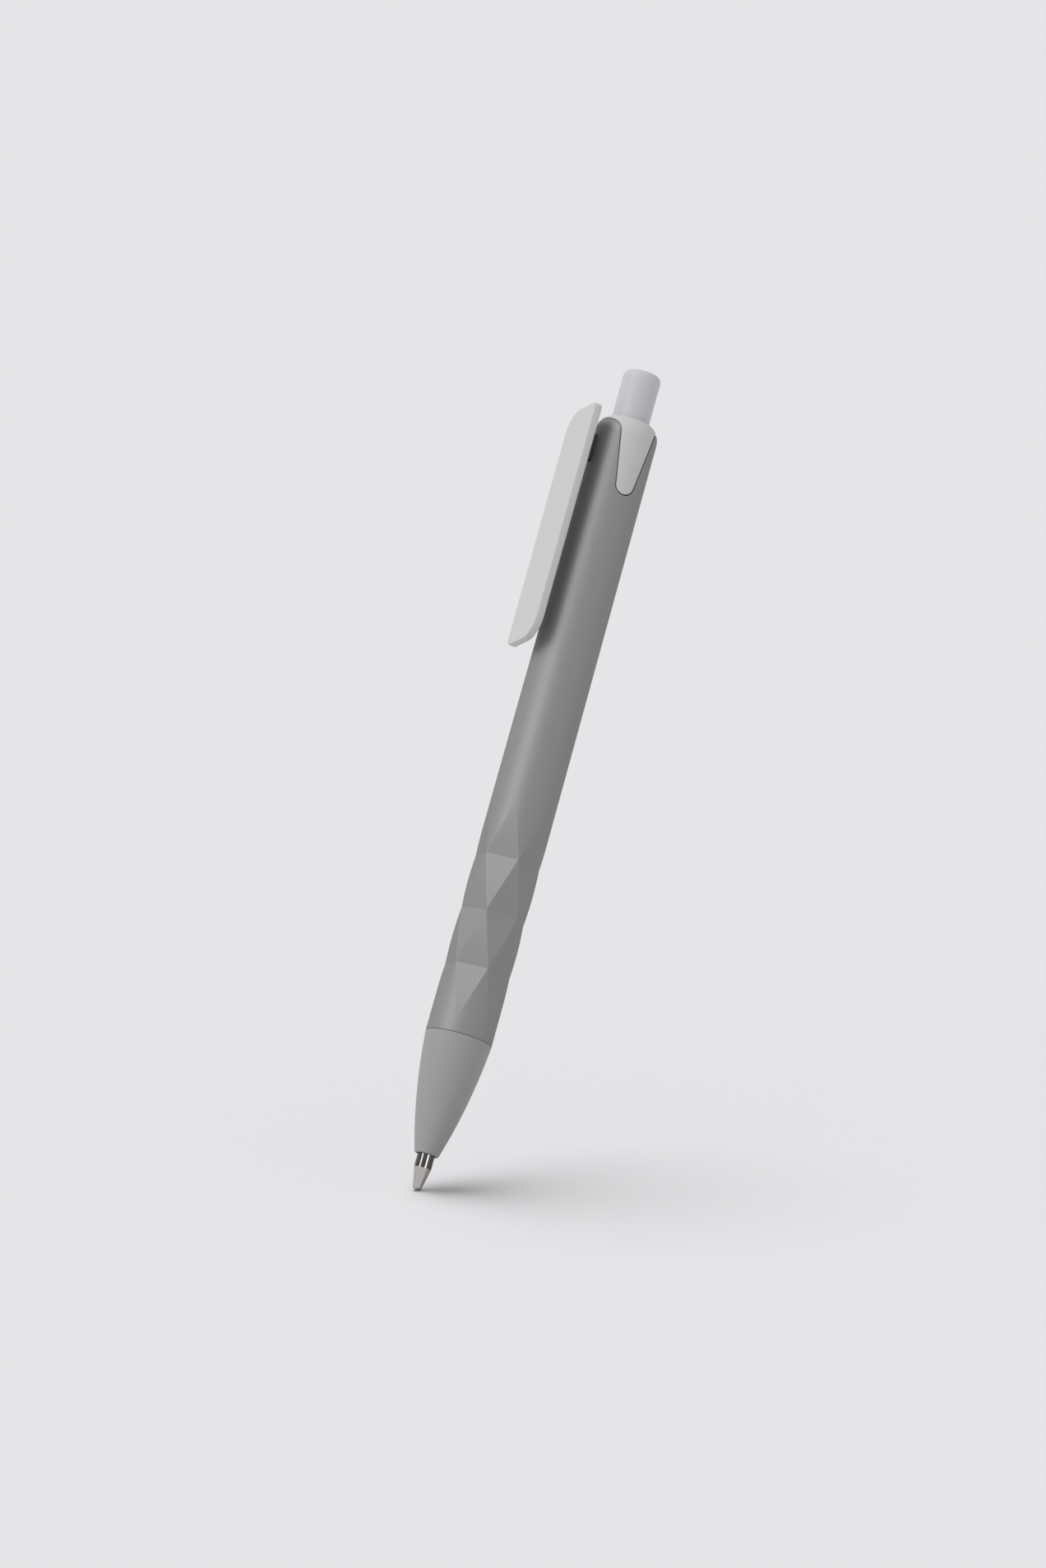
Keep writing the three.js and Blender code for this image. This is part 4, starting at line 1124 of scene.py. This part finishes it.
class PEN_OT_tip(bpy.types.Operator):
    """Build the turned metal tip and its ball"""

    bl_idname = "pen.tip"
    bl_label = "Writing Tip"

    def execute(self, context):
        tip = settings("pen_tip")
        ball = (BALL_HIGH.z - BALL_LOW.z) / 2.0
        socket = ball + tip.ball_play
        lip = TIP_LOW.z
        lip_angle = -math.degrees(math.asin((ball - lip) / socket))
        inside = arc(0.0, ball, socket, 60.0, lip_angle, 16)
        lip_inner = inside[-1][0]
        cone_top = lip + tip.cone_length
        turn = tip.end_round
        # The last points before and after each corner keep the shading crisp.
        profile = [
            (lip_inner + tip.lip_wall, lip),
            *arc(tip.nose_radius - turn, lip + turn, turn, -82.0, -5.0, 10),
            (tip.radius - 0.03, cone_top - 0.12),
            (tip.radius, cone_top),
            (tip.radius, cone_top + 0.1),
            (tip.radius, tip.body_length - 0.1),
            (tip.radius - 0.1, tip.body_length),
            (tip.spigot_radius, tip.body_length),
            (tip.spigot_radius, TIP_HIGH.z),
            (tip.channel_radius, TIP_HIGH.z),
            (tip.channel_radius, ball + socket),
            *inside,
        ]
        body = turned("pen_tip", profile, 96, ring=True)
        shaded(body, 12.0)
        dressed(body, "refill_body", "tip_metal", finish("tip"), "tip_body")
        sphere = turned("pen_ball", arc(0.0, ball, ball, -90.0, 90.0, 24), 48)
        shaded(sphere, 40.0)
        dressed(sphere, "ball_body", "ball_metal", finish("ball"), "writing_ball")
        return {"FINISHED"}


class PEN_OT_spring(bpy.types.Operator):
    """Build the return spring"""

    bl_idname = "pen.spring"
    bl_label = "Return Spring"

    def execute(self, context):
        tip = settings("pen_tip")
        half = tip.wire / 2.0
        spring = run_tree(empty_mesh_object("pen_return_spring"), coil_tree(finish("wire")), {
            "Turns": float(tip.turns), "Radius": (SPRING_HIGH.x - half) * MM,
            "Height": (SPRING_HIGH.z - SPRING_LOW.z - tip.wire) * MM,
            "Base Height": (SPRING_LOW.z + half) * MM, "Wire Radius": half * MM})
        shaded(spring, 40.0)
        dressed(spring, None, "spring_steel", finish("wire"), "return_spring")
        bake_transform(spring)
        return {"FINISHED"}


class PEN_OT_mechanism(bpy.types.Operator):
    """Give the hidden mechanism and refill their finishes"""

    bl_idname = "pen.mechanism"
    bl_label = "Mechanism Finishes"

    def execute(self, context):
        for node, name in (
                ("guide_sleeve", "mechanism"), ("cam_rotor", "mechanism"),
                ("refill_tube", "tube"), ("ink_column", "ink")):
            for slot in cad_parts[node].material_slots:
                slot.material = finish(name)
        return {"FINISHED"}


class PEN_OT_studio(bpy.types.Operator):
    """Set the camera, the floor, the lamps and the world"""

    bl_idname = "pen.studio"
    bl_label = "Studio"

    def execute(self, context):
        studio = settings("pen_studio")
        right, up, back = self.camera_axes(studio)
        self.make_camera(studio, right, up, back)
        normal = up * math.cos(studio.floor_angle) + back * math.sin(studio.floor_angle)
        depth = up * math.sin(studio.floor_angle) - back * math.cos(studio.floor_angle)
        floor = self.make_floor(studio, right, depth, normal)
        from_above, from_far_side, from_left = 0.914, 0.397, 0.06
        above = (
            normal * from_above + depth * from_far_side - right * from_left).normalized()
        floor_only = self.lit("floor_only", floor, "INCLUDE")
        pen_only = self.lit("pen_only", floor, "EXCLUDE")
        tip_only = self.lit("tip_only", bpy.data.objects["pen_tip"], "INCLUDE")
        self.make_sun("floor_light", above, studio.floor, 30.0, floor_only)
        self.make_sun("top_light", above, studio.top, 30.0, pen_only)
        left_tip_share = 0.6
        for name, azimuth, elevation, level, angle, receivers in (
                ("key_light", 18.0, 26.0, studio.key, 34.0, pen_only),
                ("back_light", -53.0, 15.0, studio.back, 30.0, pen_only),
                ("fill_light", 132.0, 12.0, studio.fill, 60.0, pen_only),
                ("tip_light_left", 24.0, 18.0, studio.tip * left_tip_share, 24.0, tip_only),
                ("tip_light_right", 99.0, 18.0, studio.tip, 24.0, tip_only)):
            self.make_sun(name, self.from_angles(azimuth, elevation), level, angle, receivers)
        self.make_world(studio)
        context.scene.view_settings.view_transform = "Standard"
        return {"FINISHED"}

    @staticmethod
    def from_angles(azimuth, elevation):
        """Direction at an angle from the clip's side towards +X, and above the cross-section."""
        a, e = math.radians(azimuth), math.radians(elevation)
        return Vector((math.sin(a) * math.cos(e), -math.cos(a) * math.cos(e), math.sin(e)))

    def camera_axes(self, studio):
        """The picture's right, up and towards-the-camera directions in the pen's frame."""
        back = self.from_angles(math.degrees(studio.azimuth), math.degrees(studio.elevation))
        axis = Vector((0.0, 0.0, 1.0))
        along = (axis - back * axis.dot(back)).normalized()
        across = along.cross(back)
        up = along * math.cos(studio.lean) - across * math.sin(studio.lean)
        right = across * math.cos(studio.lean) + along * math.sin(studio.lean)
        return right, up, back

    @staticmethod
    def make_camera(studio, right, up, back):
        data = bpy.data.cameras.new("camera")
        camera = add_object("camera", data)
        data.sensor_width = 36.0
        data.lens = data.sensor_width * studio.distance / (studio.picture_height * MM)
        data.clip_end = 10.0
        centre = (right * studio.centre_right + up * studio.centre_up) * MM
        turn = Matrix((right, up, back)).transposed().to_4x4()
        camera.matrix_world = Matrix.Translation(centre + back * studio.distance) @ turn
        bpy.context.scene.camera = camera

    @staticmethod
    def make_floor(studio, right, depth, normal):
        """A wide floor just under the ball, clear from below, so that the pen shows there too."""
        half = 4.0  # metres
        gap = normal * 0.02 * MM
        corners = [
            right * x * half + depth * y * half for x, y in ((-1, -1), (1, -1), (1, 1), (-1, 1))]
        bm = bmesh.new()
        bm.faces.new([bm.verts.new(corner - gap) for corner in corners])
        mesh = bpy.data.meshes.new("floor")
        bm.to_mesh(mesh)
        bm.free()
        floor = add_object("floor", mesh)
        material, tree = new_material("floor_paper")
        paper = tree.out(
            "ShaderNodeBsdfDiffuse", 0, None, {"Color": (*studio.backdrop, 1.0)})
        clear = tree.out("ShaderNodeBsdfTransparent", 0)
        side = tree.out("ShaderNodeNewGeometry", "Backfacing")
        mixed = tree.out("ShaderNodeMixShader", 0, None, {0: side, 1: paper, 2: clear})
        tree.node("ShaderNodeOutputMaterial", None, {"Surface": mixed})
        mesh.materials.append(material)
        return floor

    @staticmethod
    def lit(name, piece, state):
        """A collection that keeps a lamp on the piece alone, or on all but the piece."""
        receivers = bpy.data.collections.new(name)
        receivers.objects.link(piece)
        receivers.collection_objects[0].light_linking.link_state = state
        return receivers

    @staticmethod
    def make_sun(name, towards, level, angle, receivers):
        """A distant lamp; level is the share of white that it gives a surface that faces it."""
        data = bpy.data.lights.new(name, "SUN")
        data.energy = level * math.pi
        data.angle = math.radians(angle)
        lamp = add_object(name, data)
        lamp.rotation_mode = "QUATERNION"
        lamp.rotation_quaternion = towards.to_track_quat("Z", "Y")
        lamp.light_linking.receiver_collection = receivers

    @staticmethod
    def make_world(studio):
        """Even light from all round; the camera and gloss see the backdrop's colour instead."""
        world = bpy.data.worlds.new("studio")
        bpy.context.scene.world = world
        tree = cleared_tree(world)
        rays = tree.node("ShaderNodeLightPath")
        seen = Value(tree, rays.outputs["Is Camera Ray"]).math(
            "MAXIMUM", Value(tree, rays.outputs["Is Glossy Ray"])).math(
            "MAXIMUM", Value(tree, rays.outputs["Is Transmission Ray"]))
        light = tree.out(
            "ShaderNodeBackground", 0, None,
            {"Color": (1.0, 1.0, 1.0, 1.0), "Strength": studio.ambient})
        shown = tree.out(
            "ShaderNodeBackground", 0, None,
            {"Color": (*studio.backdrop, 1.0), "Strength": 1.0})
        mixed = tree.out("ShaderNodeMixShader", 0, None, {0: seen, 1: light, 2: shown})
        tree.node("ShaderNodeOutputWorld", None, {"Surface": mixed})


class VIEW3D_PT_pen(bpy.types.Panel):
    """Lists the pen's operators"""

    bl_idname = "VIEW3D_PT_pen"
    bl_label = "Ballpoint Pen"
    bl_space_type = "VIEW_3D"
    bl_region_type = "UI"
    bl_category = "Pen"

    def draw(self, context):
        for operator in OPERATORS:
            self.layout.operator(operator.bl_idname)


GROUPS = {
    "pen_casing": PenCasingSettings,
    "pen_nose": PenNoseSettings,
    "pen_clip": PenClipSettings,
    "pen_button": PenButtonSettings,
    "pen_tip": PenTipSettings,
    "pen_finish": PenFinishSettings,
    "pen_studio": PenStudioSettings,
}
OPERATORS = [
    PEN_OT_barrel, PEN_OT_nose, PEN_OT_collar, PEN_OT_clip, PEN_OT_button, PEN_OT_tip,
    PEN_OT_spring, PEN_OT_mechanism, PEN_OT_studio,
]


def register():
    for name, group in GROUPS.items():
        bpy.utils.register_class(group)
        setattr(bpy.types.Scene, name, PointerProperty(type=group))
    for operator in OPERATORS:
        bpy.utils.register_class(operator)
    bpy.utils.register_class(VIEW3D_PT_pen)


def unregister():
    bpy.utils.unregister_class(VIEW3D_PT_pen)
    for operator in reversed(OPERATORS):
        bpy.utils.unregister_class(operator)
    for name, group in reversed(GROUPS.items()):
        delattr(bpy.types.Scene, name)
        bpy.utils.unregister_class(group)


def main():
    register()
    for operator in OPERATORS:
        space, call = operator.bl_idname.split(".")
        getattr(getattr(bpy.ops, space), call)()


if __name__ == "__main__":
    main()
